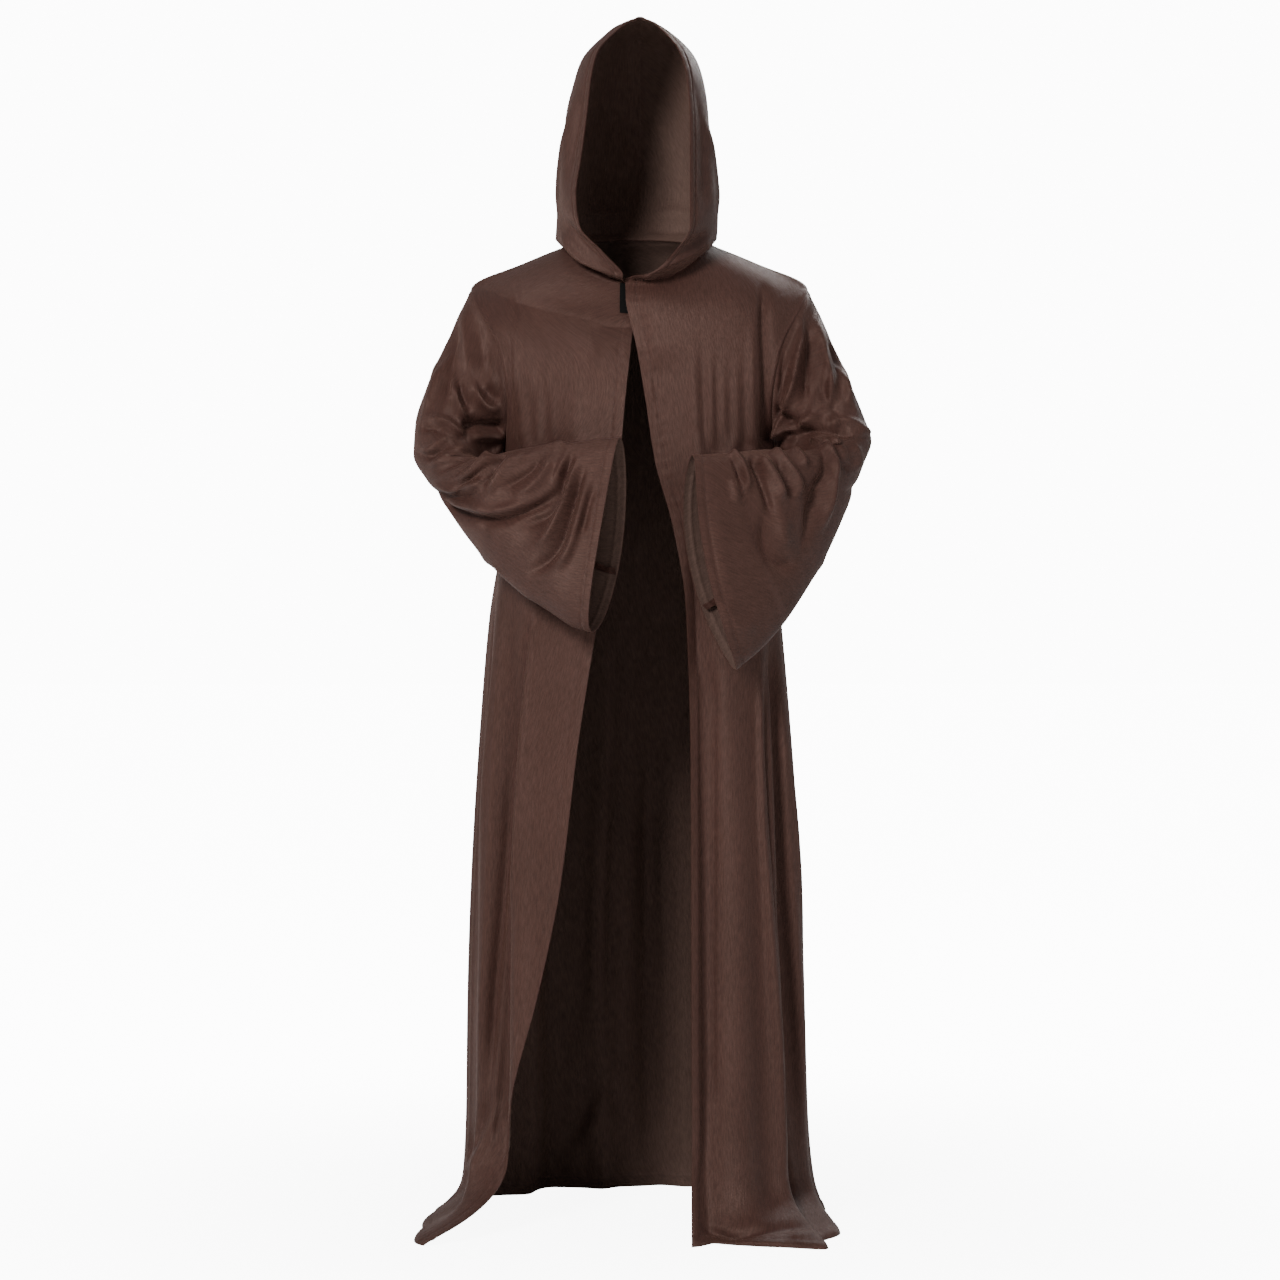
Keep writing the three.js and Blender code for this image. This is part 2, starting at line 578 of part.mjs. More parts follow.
// Lays a neckline's points between first and last on the straight edges of the hood, which meets every
// second one of them.
function layOnHood(cloth, first, last) {
  for (const grid of [cloth.middle, cloth.out]) {
    for (let j = first + 1; j < last; j += 2) grid[0][j].lerpVectors(grid[0][j - 1], grid[0][j + 1], 0.5);
  }
}

// A front, its grid lines running from the right to the left.
function makeFront(side) {
  const columnFrom = (j) => (side === RIGHT ? FRONT_COLUMNS - j : j);
  const surface = side === RIGHT ? bodyPoint : leftFrontPoint;
  const place = (i, j) => [frontAngle(side, columnFrom(j), i), ringOf(i)];
  const cloth = sheet(surface, BODY_ROWS, FRONT_COLUMNS, place);
  const sideColumn = side === RIGHT ? 0 : FRONT_COLUMNS;
  const inwards = side === RIGHT ? 1 : -1;
  const start = HOOD_START[side];
  cloth.out[0] = cloth.out[0].map((out, j) => {
    if (columnFrom(j) < start) return out;
    return necklineOut(side, (columnFrom(j) - start) / (FRONT_COLUMNS - start) / 2);
  });
  layOnHood(cloth, 0, FRONT_COLUMNS - start);
  for (let step = 0; step <= ARMHOLE_STEPS; step += 1) {
    cloth.out[YOKE_STEPS + step][sideColumn] = armholeOut(side, 0.5 + (0.5 * step) / ARMHOLE_STEPS);
  }
  applyMoves(cloth, [
    ...drawBack(cloth, rowBorder(0, FRONT_COLUMNS), (i, j) => [i + 1, j]),
    ...drawBack(cloth, columnBorder(sideColumn, 0, YOKE_STEPS), (i, j) => [i, j + inwards]),
    ...drawBack(cloth, columnBorder(sideColumn, YOKE_STEPS, ARMPIT_ROW), (i, j) => [i, j + inwards]),
    ...drawBack(cloth, columnBorder(sideColumn, ARMPIT_ROW, BODY_ROWS), (i, j) => [i, j + inwards]),
  ]);
  return cloth;
}

// The back, its grid lines running from the left side to the right side.
function makeBack() {
  const cloth = sheet(bodyPoint, BODY_ROWS, BACK_COLUMNS, (i, j) => [backAngle(j, i), ringOf(i)]);
  cloth.out[0] = cloth.out[0].map((_, j) => {
    const side = j <= BACK_COLUMNS / 2 ? LEFT : RIGHT;
    const share = 0.5 + j / BACK_COLUMNS;
    return necklineOut(side, side === LEFT ? share : 2 - share);
  });
  layOnHood(cloth, 0, BACK_COLUMNS);
  for (let step = 0; step <= ARMHOLE_STEPS; step += 1) {
    const turn = 0.5 - (0.5 * step) / ARMHOLE_STEPS;
    cloth.out[YOKE_STEPS + step][0] = armholeOut(LEFT, turn);
    cloth.out[YOKE_STEPS + step][BACK_COLUMNS] = armholeOut(RIGHT, turn);
  }
  const moves = drawBack(cloth, rowBorder(0, BACK_COLUMNS), (i, j) => [i + 1, j]);
  for (const [column, inwards] of [[0, 1], [BACK_COLUMNS, -1]]) {
    const inside = (i, j) => [i, j + inwards];
    moves.push(
      ...drawBack(cloth, columnBorder(column, 0, YOKE_STEPS), inside),
      ...drawBack(cloth, columnBorder(column, YOKE_STEPS, ARMPIT_ROW), inside),
      ...drawBack(cloth, columnBorder(column, ARMPIT_ROW, BODY_ROWS), inside),
    );
  }
  applyMoves(cloth, moves);
  return cloth;
}

// A sleeve, a tube from its armhole to its cuff.
function makeSleeve(side) {
  const columns = 2 * ARMHOLE_STEPS;
  const stationOf = (row) => (LAST_SECTION * row) / SLEEVE_STEPS;
  const cloth = sheet(sleeveSurface[side], SLEEVE_STEPS, columns - 1, (i, j) => [j / columns, stationOf(i)]);
  cloth.out[0] = cloth.out[0].map((_, j) => armholeOut(side, side === LEFT ? -j / columns : j / columns));
  applyMoves(cloth, drawBack(cloth, rowBorder(0, columns - 1), (i, j) => [i + 1, j], true));
  return cloth;
}

// One half of the hood, up to the crown and back seam that joins it to the other half.
function makeHood(side) {
  const frontSteps = (FRONT_COLUMNS - HOOD_START[side]) / 2;
  const backSteps = BACK_COLUMNS / 4;
  const columns = frontSteps + backSteps;
  const shareOf = (step) => {
    return step < frontSteps ? step / frontSteps / 2 : 0.5 + (step - frontSteps) / backSteps / 2;
  };
  const acrossOf = (j) => (side === LEFT ? 1 - shareOf(columns - j) : shareOf(j));
  const surface = hoodSurface[side];
  const cloth = sheet(surface, HOOD_STEPS, columns, (i, j) => [acrossOf(j), (CROWN * i) / HOOD_STEPS]);
  const backColumn = side === LEFT ? 0 : columns;
  // The crown's last row closes on the seam, so its vectors are read just inside it.
  cloth.out[HOOD_STEPS] = cloth.out[HOOD_STEPS].map((_, j) => {
    return outOf(surface, clamp(acrossOf(j), 0.05, 0.95), CROWN - 0.1);
  });
  cloth.out[0] = cloth.out[0].map((_, j) => necklineOut(side, side === LEFT ? 1 - acrossOf(j) : acrossOf(j)));
  const seam = [...columnBorder(backColumn, 0, HOOD_STEPS), ...rowBorder(HOOD_STEPS, columns)];
  for (const [i, j] of seam) {
    const out = cloth.out[i][j];
    const flat = out.clone().setX(0).normalize();
    cloth.out[i][j] = flat.divideScalar(Math.max(flat.dot(out), LEAST_MITRE));
  }
  applyMoves(cloth, drawBack(cloth, rowBorder(0, columns), (i, j) => [i + 1, j]));
  for (const [i, j] of seam) cloth.middle[i][j].x = (side * SEAM_GAP) / 2;
  return cloth;
}

// The place on a sheet's faces at a row and a column that may lie between its grid lines.
function onSheet(cloth, row, column) {
  const i = Math.min(Math.floor(row), cloth.middle.length - 2);
  const j = Math.min(Math.floor(column), cloth.middle[0].length - 2);
  const down = row - i;
  const across = column - j;
  const mix = (grid) => {
    const near = down > across ? grid[i + 1][j] : grid[i][j + 1];
    const point = grid[i][j].clone().multiplyScalar(1 - Math.max(down, across));
    point.addScaledVector(near, Math.abs(down - across));
    return point.addScaledVector(grid[i + 1][j + 1], Math.min(down, across));
  };
  return { middle: mix(cloth.middle), out: mix(cloth.out).normalize() };
}

// The column of a sheet, between its grid lines, that lies at a place across the body on a row.
function columnAtX(cloth, row, x) {
  const placeX = (column) => onSheet(cloth, row, column).middle.x;
  let low = 0;
  let high = cloth.middle[0].length - 1;
  for (let i = 0; i < 30; i += 1) {
    const middle = (low + high) / 2;
    if (placeX(middle) < x) low = middle;
    else high = middle;
  }
  return low;
}

// A strip of fastener tape on a front, over some rows and from a place across the body to another.
function makeTape(cloth, rows, from, to) {
  const places = rows.map((row) => {
    return [from, (from + to) / 2, to].map((x) => onSheet(cloth, row, columnAtX(cloth, row, x)));
  });
  return {
    middle: places.map((row) => row.map((place) => place.middle)),
    out: places.map((row) => row.map((place) => place.out)),
  };
}

const brownKnit = new THREE.MeshStandardMaterial({ color: 0x4b3226, roughness: 0.6, metalness: 0 });
const blackTape = new THREE.MeshStandardMaterial({ color: 0x17140f, roughness: 0.85, metalness: 0 });

const robe = new THREE.Group();

function add(name, geometry, material) {
  const mesh = new THREE.Mesh(geometry, material);
  mesh.name = name;
  robe.add(mesh);
}

const fronts = { [RIGHT]: makeFront(RIGHT), [LEFT]: makeFront(LEFT) };
add("front_right", wall(fronts[RIGHT]), brownKnit);
add("front_left", wall(fronts[LEFT]), brownKnit);
add("back", wall(makeBack()), brownKnit);
add("sleeve_right", wall(makeSleeve(RIGHT), true), brownKnit);
add("sleeve_left", wall(makeSleeve(LEFT), true), brownKnit);
add("hood_right", wall(makeHood(RIGHT)), brownKnit);
add("hood_left", wall(makeHood(LEFT)), brownKnit);

// The tapes lie on the right front's outside and on the left front's inside, LAYER_GAP clear of them.
const tapeLift = CLOTH / 2 + LAYER_GAP + TAPE / 2;
const loopTape = makeTape(fronts[RIGHT], TAPE_ROWS, LOOP_TAPE_FROM, LOOP_TAPE_FROM + TAPE_WIDTH);
const hookTape = makeTape(fronts[LEFT], TAPE_ROWS, HOOK_TAPE_FROM, HOOK_TAPE_FROM + TAPE_WIDTH);
add("fastener_loop_tape", wall(loopTape, false, TAPE, tapeLift), blackTape);
add("fastener_hook_tape", wall(hookTape, false, TAPE, -tapeLift), blackTape);

export default robe;
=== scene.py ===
"""Looks of a hooded robe of satin-faced brown knit, hollow, as it hangs on a standing wearer.

The forms are worked out in millimetres in the frame of the part and become metres when a mesh is made.
The front faces -Y and the wearer's right is -X. "Right" and "left" are the wearer's.
"""

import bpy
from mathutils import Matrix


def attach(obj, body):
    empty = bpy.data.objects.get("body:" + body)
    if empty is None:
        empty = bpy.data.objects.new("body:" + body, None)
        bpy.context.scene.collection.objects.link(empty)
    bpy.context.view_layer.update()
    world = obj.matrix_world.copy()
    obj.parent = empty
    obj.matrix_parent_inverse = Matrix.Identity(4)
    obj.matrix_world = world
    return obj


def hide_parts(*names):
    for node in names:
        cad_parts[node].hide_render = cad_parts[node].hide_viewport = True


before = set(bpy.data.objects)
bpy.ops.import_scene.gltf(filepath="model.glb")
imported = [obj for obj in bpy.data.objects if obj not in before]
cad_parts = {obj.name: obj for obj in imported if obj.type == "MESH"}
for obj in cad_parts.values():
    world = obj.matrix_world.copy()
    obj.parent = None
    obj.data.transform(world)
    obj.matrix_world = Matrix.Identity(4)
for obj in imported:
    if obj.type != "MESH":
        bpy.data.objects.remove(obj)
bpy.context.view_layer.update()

import logging
import math
from dataclasses import dataclass, field
from enum import Enum
from typing import Callable

import bmesh
import bpy
import numpy as np
from mathutils import Vector

log = logging.getLogger("robe")

Array = np.ndarray
Path = tuple[tuple[float, float], ...]
Surface = Callable[[Array, Array], Array]
Colour = tuple[float, float, float]
Line = tuple[Array, Array]

METRES = 0.001
FLOOR = -1470.0
HEM = FLOOR + 2.0

PHOTO_SIZE = 1280
PHOTO_MIDDLE = PHOTO_SIZE / 2
PHOTO_FOCAL = 3268.0
SENSOR_WIDTH = 36.0
CAMERA_BACK = 5000.0
CAMERA_HEIGHT = -593.0
MM_PER_PIXEL = CAMERA_BACK / PHOTO_FOCAL


class Side(Enum):
    """The wearer's two sides, as the sign of X."""

    RIGHT = -1
    LEFT = 1


class View(Enum):
    """Where a crease's path is placed: in the photograph's pixels, or in mm seen square on from one side."""

    PHOTO = "photo"
    INSIDE = "inside"
    BACK = "back"
    RIGHT = "right"
    LEFT = "left"


def lerp(low: Array | float, high: Array | float, share: Array | float) -> Array:
    """Mixes two values."""
    return low + (high - low) * share


def smooth(value: Array | float, low: float, high: float) -> Array:
    """Rises smoothly from 0 at low to 1 at high."""
    share = np.clip((np.asarray(value, float) - low) / (high - low), 0, 1)
    return share * share * (3 - 2 * share)


def bell(distance: Array, width: Array | float) -> Array:
    """A bell curve, 1 in the middle and nearly 0 two widths away."""
    return np.exp(-((distance / width) ** 2))


def unit(vectors: Array) -> Array:
    """Scales vectors to length 1."""
    return vectors / np.maximum(np.linalg.norm(vectors, axis=-1, keepdims=True), 1e-9)


def stacked(x: Array, y: Array, z: Array) -> Array:
    """Joins coordinates into points."""
    return np.stack(np.broadcast_arrays(x, y, z), axis=-1)


class Column:
    """A column of a table, read between its rows by a smooth curve that never passes its rows' values."""

    def __init__(self, values: list[float]) -> None:
        """Works out the curve's slopes.

        Args:
            values: The column's value at each row.
        """
        self.values = np.array(values, float)
        step = np.diff(self.values)
        before, after = step[:-1], step[1:]
        total = np.where(before + after == 0, 1, before + after)
        inner = np.where(before * after > 0, 2 * before * after / total, 0)
        self.slopes = np.concatenate([step[:1], inner, step[-1:]])

    def __call__(self, at: Array | float) -> Array:
        """Reads the column at places between its rows.

        Args:
            at: The places, counted in rows from the first.

        Returns:
            The column's values there.
        """
        at = np.asarray(at, float)
        i = np.clip(np.floor(at).astype(int), 0, len(self.values) - 2)
        part = at - i
        blend = part * part * (3 - 2 * part)
        bend = part * (1 - part) * ((1 - part) * self.slopes[i] - part * self.slopes[i + 1])
        return lerp(self.values[i], self.values[i + 1], blend) + bend


class Table:
    """Rows of numbers with named columns, each an attribute that is read as a Column."""

    def __init__(self, columns: str, rows: list[tuple[float, ...]]) -> None:
        """Splits the rows into columns.

        Args:
            columns: The names of the columns.
            rows: The rows of numbers.
        """
        for name, values in zip(columns.split(), zip(*rows), strict=True):
            setattr(self, name, Column(list(values)))
        self.last = len(rows) - 1


# The rings of the body: neckline, yoke, shoulder, upper chest, chest, armpit, waist, hip, thigh, knee, calf,
# ankle, break and hem, with their heights, half widths, depths and how square they are.
BODY_RINGS = Table(
    "z_front z_side z_back right left front back square",
    [
        (-58, 12, 28, 104, 104, 100, 78, 2.0),
        (-90, -18, 4, 178, 178, 122, 104, 2.1),
        (-128, -58, -36, 258, 256, 132, 120, 2.3),
        (-170, -130, -110, 246, 246, 139, 128, 2.5),
        (-235, -220, -210, 226, 224, 144, 134, 2.6),
        (-326, -326, -326, 206, 204, 147, 138, 2.6),
        (-430, -430, -430, 210, 203, 149, 143, 2.6),
        (-560, -560, -560, 226, 213, 154, 154, 2.5),
        (-750, -750, -750, 237, 225, 168, 172, 2.4),
        (-960, -960, -960, 245, 235, 190, 192, 2.3),
        (-1160, -1160, -1160, 249, 240, 218, 210, 2.2),
        (-1330, -1330, -1330, 251, 245, 248, 224, 2.2),
        (-1425, -1425, -1425, 256, 255, 276, 230, 2.2),
        (HEM, HEM, HEM, 268, 270, 300, 232, 2.2),
    ],
)
SHOULDER_RING = 2
ARMPIT_RING = 5
FRONT_EDGES = Table(
    "right left",
    [
        (4, -22), (4, -21), (-10, -12), (-15, -3), (-22, 8), (-30, 22), (-40, 50),
        (-62, 70), (-92, 76), (-118, 76), (-159, 76), (-192, 76), (-222, 75), (-244, 74),
    ],
)
# The level up to which the hood is bent to the neckline.
HOOD_FIT = 1.5
# Where each half of the hood begins on the neckline; the right front reaches past it, under the left.
HOOD_STARTS = {Side.RIGHT: -24.0, Side.LEFT: -22.0}
HOOD_TABLE = Table(
    "z_front z_side z_back y_front y_side y_back edge_right edge_left side_right side_left",
    [
        (-58, 12, 28, -100, 0, 78, 24, -22, 104, 104),
        (-47, 20, 44, -122, 0, 100, 25, 6, 129, 117),
        (-14, 52, 78, -130, 0, 126, 56, 52, 127, 119),
        (26, 84, 112, -128, 0, 142, 91, 75, 125, 118),
        (74, 112, 138, -120, 0, 150, 96, 75, 124, 116),
        (132, 150, 170, -110, 0, 153, 88, 75, 121, 112),
        (196, 202, 212, -100, 0, 150, 80, 75, 115, 106),
        (250, 252, 252, -90, 2, 138, 74, 71, 103, 99),
        (292, 292, 286, -80, 5, 120, 64, 60, 90, 87),
        (322, 324, 314, -72, 8, 98, 40, 38, 62, 60),
        (340, 344, 332, -66, 10, 82, 18, 18, 36, 30),
        (348, 353, 340, -62, 10, 74, 0, 0, 0, 0),
    ],
)
SLEEVE_COLUMNS = "inner_x inner_y inner_z outer_x outer_y outer_z front back turn taper bow"
SLEEVE_TABLES = {
    Side.RIGHT: Table(
        SLEEVE_COLUMNS,
        [
            (-206, 0, -326, -258, 0, -58, 92, 88, 0, 0, 0),
            (-222, -12, -334, -281, -4, -106, 86, 80, 4, 0, 0),
            (-229, -36, -336, -302, -12, -156, 80, 74, 8, 0, 0),
            (-226, -62, -332, -322, -22, -210, 74, 72, 12, 0, 0),
            (-219, -88, -328, -337, -34, -264, 68, 70, 16, 0.05, 0),
            (-210, -112, -323, -339, -48, -312, 62, 66, 20, 0.1, 0),
            (-200, -132, -318, -317, -66, -354, 56, 58, 24, 0.15, 0),
            (-188, -156, -314, -286, -92, -396, 52, 46, 28, 0.2, 0),
            (-172, -176, -311, -255, -118, -440, 49, 41, 30, 0.2, 0),
            (-152, -193, -309, -216, -147, -485, 46, 38, 31, 0.1, 0),
            (-127, -208, -307, -172, -175, -524, 43, 37, 31, 0, 2),
            (-97, -221, -305, -127, -201, -554, 40, 37, 30, -0.1, 4),
            (-63, -232, -301, -94, -222, -575, 37, 37, 29, -0.2, 6),
            (-29, -240, -299, -69, -238, -581, 35, 38, 28, -0.25, 7),
        ],
    ),
    Side.LEFT: Table(
        SLEEVE_COLUMNS,
        [
            (204, 0, -326, 256, 0, -58, 92, 88, 0, 0, 0),
            (215, -12, -331, 278, -4, -104, 86, 82, 4, 0, 0),
            (222, -36, -332, 300, -12, -156, 80, 76, 8, 0, 0),
            (222, -62, -328, 319, -22, -208, 74, 72, 12, 0, 0),
            (218, -88, -322, 338, -32, -258, 68, 70, 15, 0.05, 0),
            (213, -112, -316, 348, -46, -290, 62, 66, 18, 0.1, 0),
            (206, -132, -312, 334, -64, -330, 56, 58, 20, 0.15, 1),
            (196, -152, -311, 318, -86, -372, 52, 54, 21, 0.2, 3),
            (183, -172, -312, 299, -110, -418, 48, 50, 21, 0.2, 6),
            (168, -190, -314, 275, -138, -468, 45, 46, 21, 0.15, 9),
            (150, -206, -317, 244, -166, -520, 42, 42, 21, 0.1, 12),
            (128, -220, -320, 208, -194, -572, 39, 39, 20, 0.05, 16),
            (103, -234, -322, 169, -220, -613, 36, 37, 20, 0, 20),
            (76, -246, -324, 139, -240, -636, 33, 35, 20, 0, 24),
        ],
    ),
}

# Folds of the body: side, angle at the top and at the bottom, half width in degrees, how far out, and the
# rings where each starts, is full and ends.
BODY_FOLDS = [
    (-1, 50, 44, 5, 9, 2.2, 4, 7), (-1, 27, 24, 6, 4, 3, 5, 7), (-1, 44, 43, 4.5, 15, 6, 10, 99),
    (-1, 55, 53, 4.5, -16, 6, 10, 99), (-1, 65, 64, 5, 15, 6, 10, 99), (-1, 78, 76, 5, -15, 6, 10, 99),
    (-1, 95, 93, 6, 16, 5.5, 10, 99), (1, 50, 48, 5, 8, 2.2, 4, 7), (1, 24, 23, 3.5, 6, 3, 5, 6.5),
    (1, 38, 37, 3.5, 7, 3, 5, 6.5), (1, 24, 24, 4.5, -17, 5.5, 8, 99), (1, 36, 38, 6, 8, 7, 10, 99),
    (1, 50, 53, 4.5, 16, 6, 10, 99), (1, 60, 62, 4.5, -16, 6, 10, 99), (1, 70, 72, 5, 15, 6, 10, 99),
    (1, 84, 84, 5, -14, 6, 10, 99), (1, 98, 97, 6, 15, 5.5, 10, 99), (-1, 110, 108, 6, -18, 5, 10, 99),
    (-1, 124, 121, 6, 18, 4, 10, 99), (-1, 138, 136, 6, -20, 4, 10, 99), (-1, 153, 150, 6, 18, 4, 10, 99),
    (-1, 168, 166, 5, -20, 4, 10, 99), (1, 112, 110, 6, -18, 5, 10, 99), (1, 127, 125, 6, 18, 4, 10, 99),
    (1, 143, 140, 6, -20, 4, 10, 99), (1, 159, 156, 6, 18, 4, 10, 99), (1, 178, 173, 6, 14, 4, 10, 99),
]
# Where the hem is pushed out along the floor: side, angle, width, from which ring, and how far in x and y.
HEM_KICKS = [(-1, 60, 22, 10.4, -26, -137), (-1, 76, 16, 11.6, -60, 0), (1, 58, 20, 11.4, 34, -120)]
# The sleeves' largest folds: side, from a station and angle to another, half width and how far out.
SLEEVE_FOLDS = [
    (-1, 0.8, 215, 4, 235, 13, 8), (-1, 1.2, 250, 4.2, 262, 13, 9), (-1, 1, 285, 4, 296, 12, -9),
    (-1, 1.4, 150, 4.4, 140, 16, 9), (-1, 1.4, 100, 4.6, 100, 16, -9), (-1, 5.2, 320, 5, 215, 10, -9),
    (-1, 6.4, 325, 6, 225, 10, 9), (-1, 7.6, 325, 7, 215, 10, -9), (-1, 9, 325, 8, 210, 12, 9),
    (-1, 11.2, 325, 9.4, 215, 13, -9), (-1, 12.4, 330, 11, 215, 13, 9), (-1, 5.6, 40, 6, 140, 12, 8),
    (-1, 7.4, 45, 8, 140, 12, -8), (1, 1, 215, 4.2, 232, 13, 8), (1, 1.2, 250, 4.2, 262, 13, -9),
    (1, 1, 285, 4, 292, 13, 9), (1, 1.4, 150, 4.4, 140, 16, 9), (1, 1.4, 100, 4.6, 100, 16, -9),
    (1, 5, 325, 4.8, 200, 12, -10), (1, 6.4, 325, 7, 215, 12, 9), (1, 7.8, 325, 8.6, 230, 12, -9),
    (1, 9.2, 330, 10, 240, 12, 9), (1, 10.6, 330, 11, 250, 12, -9), (1, 12, 330, 12.4, 230, 12, 7),
    (1, 5.6, 40, 6, 140, 12, 8), (1, 7.4, 45, 8, 140, 12, -8),
]


# A crease's line: its steps between two places of its path, how many widths away it is still felt, and how
# sharp its profile is.
LINE_STEPS = 8
CREASE_REACH = 3.2
CREASE_POWER = 1.5


@dataclass(frozen=True)
class Crease:
    """One crease of the cloth, placed one by one.

    Attributes:
        path: The places that it runs through, in its view's own units.
        width: Its half width in mm.
        depth: How far it stands out in mm, or in, below 0.
        lean: From -1 to 1, how much wider it is on the left of its path, seen in its view, than on the right.
        start: The share of its length over which it grows.
        end: The share of its length over which it dies away.
    """

    path: Path
    width: float
    depth: float
    lean: float = 0.0
    start: float = 0.3
    end: float = 0.3

    def line(self) -> Array:
        """Draws the path as a smooth line.

        Returns:
            The line's points, LINE_STEPS for each stretch of the path.
        """
        points = np.array(self.path, float)
        ends = np.vstack([2 * points[0] - points[1], points, 2 * points[-1] - points[-2]])
        t = np.linspace(0, 1, LINE_STEPS, endpoint=False)[:, None]
        parts = []
        for a, b, c, d in zip(ends, ends[1:], ends[2:], ends[3:]):
            bent = (2 * a - 5 * b + 4 * c - d) * t**2 + (3 * b - a - 3 * c + d) * t**3
            parts.append(b + ((c - a) * t + bent) / 2)
        return np.vstack([*parts, points[-1:]])

    def out(self, places: Array, unit_size: float) -> Array:
        """Gives how far the crease pushes the cloth out.

        Args:
            places: The cloth's points as they show in the crease's view.
            unit_size: The size in mm of one unit of that view.

        Returns:
            The distance in mm at each point.
        """
        line = self.line()
        margin = CREASE_REACH * self.width * (1 + abs(self.lean)) / unit_size
        inside = np.all((places > line.min(0) - margin) & (places < line.max(0) + margin), axis=-1)
        pushed = np.zeros(places.shape[:-1])
        near = places[inside]
        if len(near) == 0:
            return pushed
        steps = np.diff(line, axis=0)
        away = near[:, None, :] - line[None, :-1]
        share = np.clip((away * steps).sum(-1) / np.maximum((steps**2).sum(-1), 1e-9), 0, 1)
        apart = away - share[..., None] * steps
        distance = np.linalg.norm(apart, axis=-1)
        closest = distance.argmin(axis=1)
        rows = np.arange(len(near))
        distance = distance[rows, closest] * unit_size
        gap = apart[rows, closest]
        way = steps[closest]
        is_left = way[:, 0] * gap[:, 1] - way[:, 1] * gap[:, 0] < 0
        width = self.width * (1 + np.where(is_left, self.lean, -self.lean))
        along = (closest + share[rows, closest]) / len(steps)
        grown = smooth(along, 0, max(self.start, 1e-3)) * (1 - smooth(along, 1 - max(self.end, 1e-3), 1))
        pushed[inside] = self.depth * np.exp(-((distance / width) ** CREASE_POWER)) * grown
        return pushed


def shown_in(view: View, points: Array) -> tuple[Array, float]:
    """Gives where points show in a view.

    Args:
        view: The view.
        points: The points in mm.

    Returns:
        Their places in the view, and the size of one unit of it in mm.
    """
    x, y, z = points[..., 0], points[..., 1], points[..., 2]
    if view in (View.PHOTO, View.INSIDE):
        scale = PHOTO_FOCAL / (CAMERA_BACK + y)
        place = (PHOTO_MIDDLE + scale * x, PHOTO_MIDDLE + scale * (CAMERA_HEIGHT - z))
        return np.stack(place, axis=-1), MM_PER_PIXEL
    across = {View.BACK: -x, View.RIGHT: -y, View.LEFT: y}[view]
    return np.stack((across, -z), axis=-1), 1.0


def facing(view: View, normals: Array) -> Array:
    """Gives how far a view's creases reach each point, by how squarely its outside faces the view.

    Args:
        view: The view.
        normals: The directions out of the cloth.

    Returns:
        From 0 to 1, the share of the creases at each point.
    """
    towards = {
        View.PHOTO: (0, -1, 0),
        View.INSIDE: (0, 1, 0),
        View.BACK: (0, 1, 0),
        View.RIGHT: (-1, 0, 0),
        View.LEFT: (1, 0, 0),
    }[view]
    return smooth(normals @ np.array(towards, float), *FACING)


Creases = dict[View, list[Crease]]
# The cosines between which a view's creases fade in.
FACING = (0.1, 0.42)
# How often a front is evened out, and where it becomes free to move: from its seam and its open edge in mm,
# and from which rings to which.
EASE_PASSES = 260
EASE_SEAM = (0, 30)
EASE_EDGE = (45, 100)
EASE_START = (0.4, 1.4)
EASE_END = (3.6, 4.8)


def softened(heights: Array, is_tube: bool) -> Array:
    """Evens out a grid of heights with their neighbours, twice.

    Args:
        heights: The grid of heights.
        is_tube: Whether its last column lies on its first.

    Returns:
        The softer heights.
    """
    for _ in range(2):
        rows = np.pad(heights, ((1, 1), (0, 0)), mode="edge")
        heights = (rows[:-2] + 2 * rows[1:-1] + rows[2:]) / 4
        columns = np.pad(heights, ((0, 0), (1, 1)), mode="edge")
        if is_tube:
            columns = np.concatenate([heights[:, -2:-1], heights, heights[:, 1:2]], axis=1)
        heights = (columns[:, :-2] + 2 * columns[:, 1:-1] + columns[:, 2:]) / 4
    return heights


def eased(points: Array, at: Array, at_left: bool) -> Array:
    """Evens out a panel between the shoulder and the chest, where worn cloth has no ridge.

    Args:
        points: The panel's grid of points.
        at: The ring of each point.
        at_left: Whether it is the left front, whose open edge is its first column.

    Returns:
        The eased points.
    """
    first, last = from_edge(points, 1, False), from_edge(points, 1, True)
    seam, edge = (last, first) if at_left else (first, last)
    free = smooth(seam, *EASE_SEAM) * smooth(edge, *EASE_EDGE) * smooth(at, *EASE_START)
    free = free * (1 - smooth(at, *EASE_END))
    for _ in range(EASE_PASSES):
        even = points.copy()
        even[1:-1, 1:-1] = (points[:-2, 1:-1] + points[2:, 1:-1] + points[1:-1, :-2] + points[1:-1, 2:]) / 4
        points = lerp(points, even, free[..., None])
    return points


def creased(points: Array, normals: Array, creases: Creases, held: Array, is_tube: bool = False) -> Array:
    """Presses creases into a sheet of cloth.

    Args:
        points: The sheet's points.
        normals: The directions out of it.
        creases: The creases of each view.
        held: From 0 to 1, how free each point is to move.
        is_tube: Whether the sheet's last column lies on its first.

    Returns:
        The moved points.
    """
    out = np.zeros(points.shape[:-1])
    for view, those in creases.items():
        places, unit_size = shown_in(view, points)
        pushed = sum((crease.out(places, unit_size) for crease in those), np.zeros(points.shape[:-1]))
        out += pushed * facing(view, normals) * (-1 if view is View.INSIDE else 1)
    return points + normals * softened(out * held, is_tube)[..., None]


